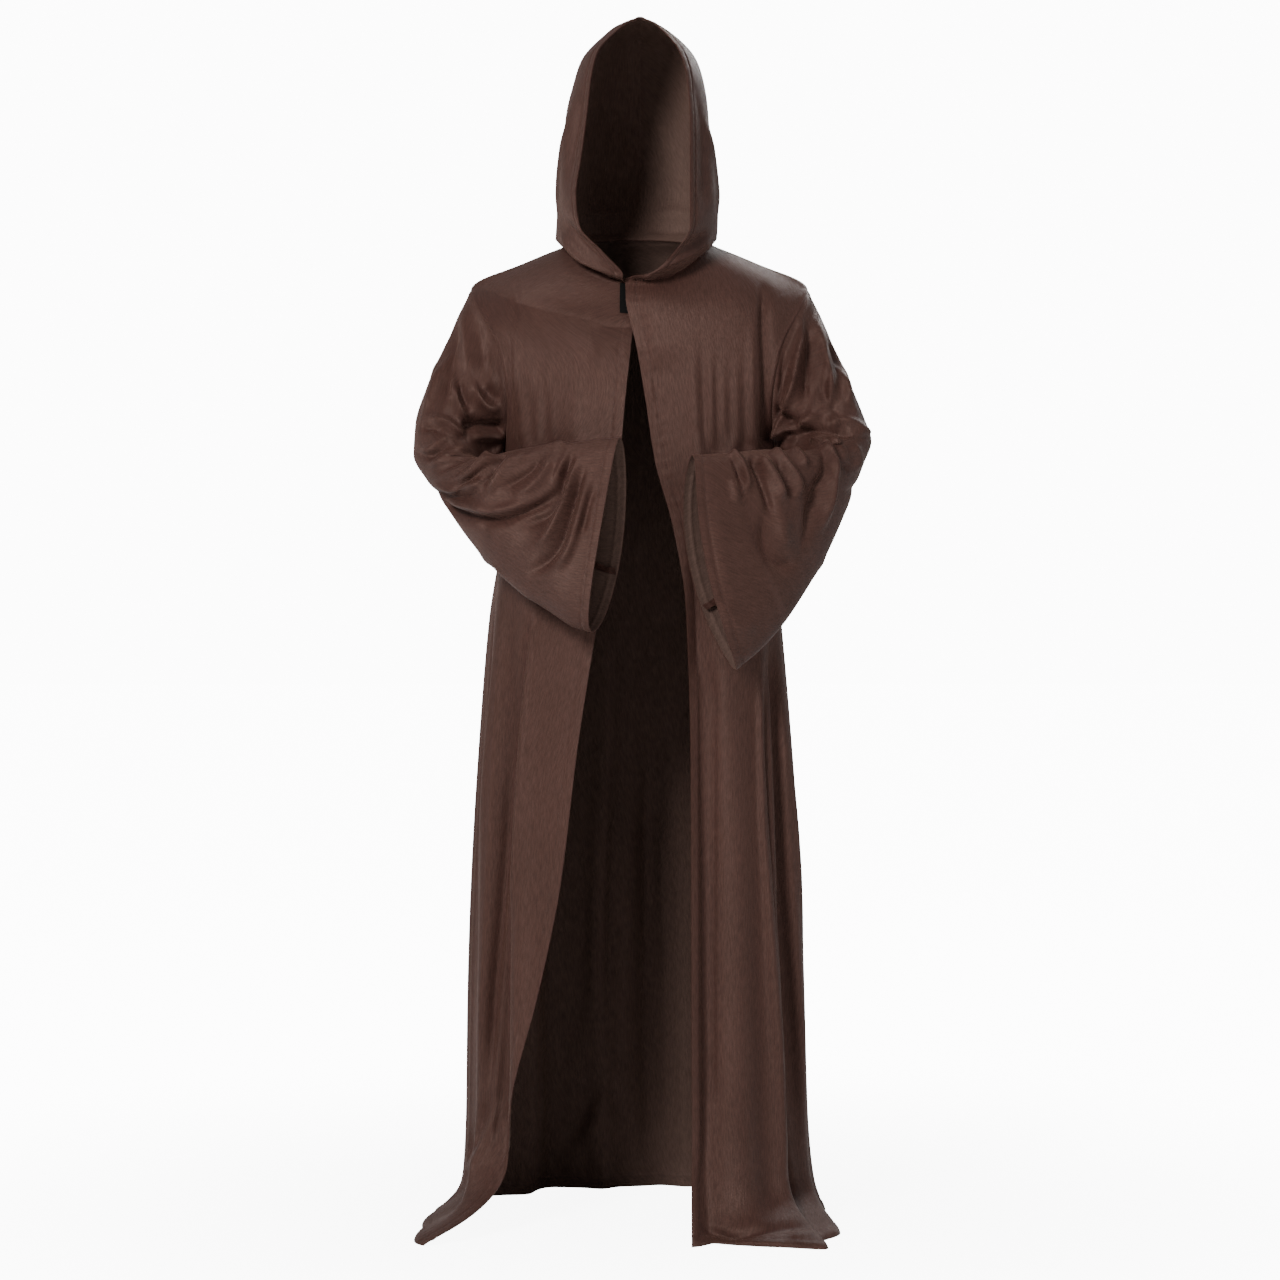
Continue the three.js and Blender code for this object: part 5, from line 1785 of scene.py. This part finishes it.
@dataclass
class TouchFastener:
    """The two halves of the fastener tape at the neck.

    Attributes:
        width: The width of the tape in mm.
        loop_from: Where the soft half starts across the body.
        hook_from: Where the stiff half starts across the body.
        top: The body row at which the tapes start.
        bottom: The body row at which they end.
        lift: How far they lie from the middle of the fronts' cloth in mm.
        thickness: How thick they are in mm.
        pile: How uneven their pile or hooks are in mm.
    """

    width: float = 22.0
    loop_from: float = -30.0
    hook_from: float = -18.0
    top: float = 0.3
    bottom: float = 2.9
    lift: float = 2.1
    thickness: float = 1.2
    pile: float = 0.12

    def tape(self, name: str, surface: Surface, start: float, lift: float, finish: PlainFinish) -> None:
        """Makes one half, with its pile or hooks as a fine uneven surface.

        Args:
            name: The node that it stands for.
            surface: The front's surface.
            start: Where it starts across the body in mm.
            lift: How far out of the front's middle it lies in mm.
            finish: Its finish.
        """
        rows = np.linspace(self.top, self.bottom, 60)
        row, x = np.meshgrid(rows, np.linspace(start, start + self.width, 30), indexing="ij")
        at = ring_of(row)
        angle = angle_at(x, at)
        points = surface(angle, at)
        normals = out_of(surface, angle, at)
        pile = self.pile * np.sin(row * 41 + 2 * np.sin(x * 1.7)) * np.sin(x * 2.9 + np.sin(row * 29))
        points = points + normals * (lift + pile)[..., None]
        piece = shell(f"{name}_strip", points, np.ones(points.shape[:2]), thickness=self.thickness)
        piece.data.materials.clear()
        for _ in range(2):
            piece.data.materials.append(finish.material())
        dress(piece, "black_tape", name)

    def build(self) -> None:
        """Makes both halves."""
        self.tape("fastener_loop_tape", body_point, self.loop_from, self.lift, LOOP_TAPE)
        self.tape("fastener_hook_tape", left_front_point, self.hook_from, -self.lift, HOOK_TAPE)


@dataclass
class Studio:
    """The floor, the lights and the camera.

    Attributes:
        floor_size: The half width of the floor in metres.
        floor_top: The height of the floor in mm, just under the hem.
        key: The strength of the main light in watts.
        fill: The strength of the light from the other side.
        back: The strength of the light from behind.
        world: The strength of the light from all round.
        backdrop: How bright the backdrop and the far floor look, so that they stay nearly white.
        near_glow: The same for the floor close by, where the soft shadow lies.
        shadow_from: How far from the robe's middle the floor starts to brighten in metres.
        shadow_to: Where it is as bright as the backdrop.
    """

    floor_size: float = 60.0
    floor_top: float = HEM - 0.6
    key: float = 415.0
    fill: float = 60.0
    back: float = 70.0
    world: float = 0.36
    backdrop: float = 12.0
    near_glow: float = 3.0
    shadow_from: float = 0.4
    shadow_to: float = 2.4

    def make_floor(self) -> None:
        """Lays the pale floor."""
        bm = bmesh.new()
        bmesh.ops.create_grid(bm, x_segments=1, y_segments=1, size=self.floor_size)
        bmesh.ops.translate(bm, verts=bm.verts, vec=Vector((0, 0, self.floor_top * METRES)))
        mesh = bpy.data.meshes.new("studio_floor")
        bm.to_mesh(mesh)
        bm.free()
        floor = bpy.data.objects.new("studio_floor", mesh)
        bpy.context.scene.collection.objects.link(floor)
        material, shader = new_material("pale_floor")
        shader.inputs["Base Color"].default_value = (0.9, 0.9, 0.9, 1)
        shader.inputs["Roughness"].default_value = 0.9
        shader.inputs["Specular IOR Level"].default_value = 0.0
        shader.inputs["Emission Color"].default_value = (1, 1, 1, 1)
        tree = material.node_tree
        place = tree.nodes.new("ShaderNodeTexCoord")
        apart = tree.nodes.new("ShaderNodeVectorMath")
        apart.operation = "LENGTH"
        tree.links.new(place.outputs["Object"], apart.inputs[0])
        fade = tree.nodes.new("ShaderNodeMapRange")
        fade.interpolation_type = "SMOOTHSTEP"
        for name, value in (("From Min", self.shadow_from), ("From Max", self.shadow_to),
                            ("To Min", self.near_glow), ("To Max", self.backdrop)):
            fade.inputs[name].default_value = value
        tree.links.new(apart.outputs["Value"], fade.inputs["Value"])
        seen = self.brighten_for_camera(tree, shader.inputs["Emission Strength"], 0.0, 1.0)
        tree.links.new(fade.outputs["Result"], seen)
        mesh.materials.append(material)

    def brighten_for_camera(self, tree: bpy.types.NodeTree, strength: bpy.types.NodeSocket,
                            unseen: float, seen: float) -> bpy.types.NodeSocket:
        """Gives a strength one value where the camera sees it directly and another for the light it casts.

        Args:
            tree: The nodes of the material or world.
            strength: The socket that takes the strength.
            unseen: The strength of the light that it casts.
            seen: The strength that the camera sees.

        Returns:
            The socket that holds the strength that the camera sees.
        """
        light_path = tree.nodes.new("ShaderNodeLightPath")
        mix = tree.nodes.new("ShaderNodeMix")
        mix.inputs[2].default_value = unseen
        mix.inputs[3].default_value = seen
        tree.links.new(light_path.outputs["Is Camera Ray"], mix.inputs[0])
        tree.links.new(mix.outputs[0], strength)
        return mix.inputs[3]

    def add_light(self, name: str, place: tuple[float, float, float], size: float, power: float) -> None:
        """Adds a large soft light that points at the robe's chest.

        Args:
            name: The light's name.
            place: Where it stands in metres.
            size: How wide it is in metres.
            power: How strong it is in watts.
        """
        light = bpy.data.lights.new(name, "AREA")
        light.shape = "DISK"
        light.size = size
        light.energy = power
        lamp = bpy.data.objects.new(name, light)
        lamp.location = place
        lamp.rotation_euler = (Vector((0, 0, -0.5)) - Vector(place)).to_track_quat("-Z", "Y").to_euler()
        bpy.context.scene.collection.objects.link(lamp)

    def build(self) -> None:
        """Makes the floor, the lights, the world and the camera."""
        self.make_floor()
        self.add_light("key_light", (-2.3, -4.6, 2.0), 1.5, self.key)
        self.add_light("fill_light", (3.4, -3.6, 0.6), 2.6, self.fill)
        self.add_light("back_light", (2.2, 4.4, 2.4), 1.8, self.back)
        world = bpy.data.worlds.new("studio")
        world.use_nodes = True
        background = world.node_tree.nodes["Background"]
        background.inputs["Color"].default_value = (1, 1, 1, 1)
        self.brighten_for_camera(world.node_tree, background.inputs["Strength"], self.world, self.backdrop)
        bpy.context.scene.world = world
        camera = bpy.data.cameras.new("camera")
        camera.sensor_width = SENSOR_WIDTH
        camera.lens = PHOTO_FOCAL / PHOTO_SIZE * SENSOR_WIDTH
        holder = bpy.data.objects.new("camera", camera)
        holder.location = (0, -CAMERA_BACK * METRES, CAMERA_HEIGHT * METRES)
        holder.rotation_euler = (math.pi / 2, 0, 0)
        bpy.context.scene.collection.objects.link(holder)
        bpy.context.scene.camera = holder


def main() -> None:
    """Builds the studio and the robe's pieces."""
    logging.basicConfig(level=logging.INFO, format="%(message)s")
    for part in (Studio(), BodyPanels(), Sleeve(Side.RIGHT), Sleeve(Side.LEFT), Hood(), TouchFastener()):
        part.build()
        log.info("%s is made", type(part).__name__)


if __name__ == "__main__":
    main()
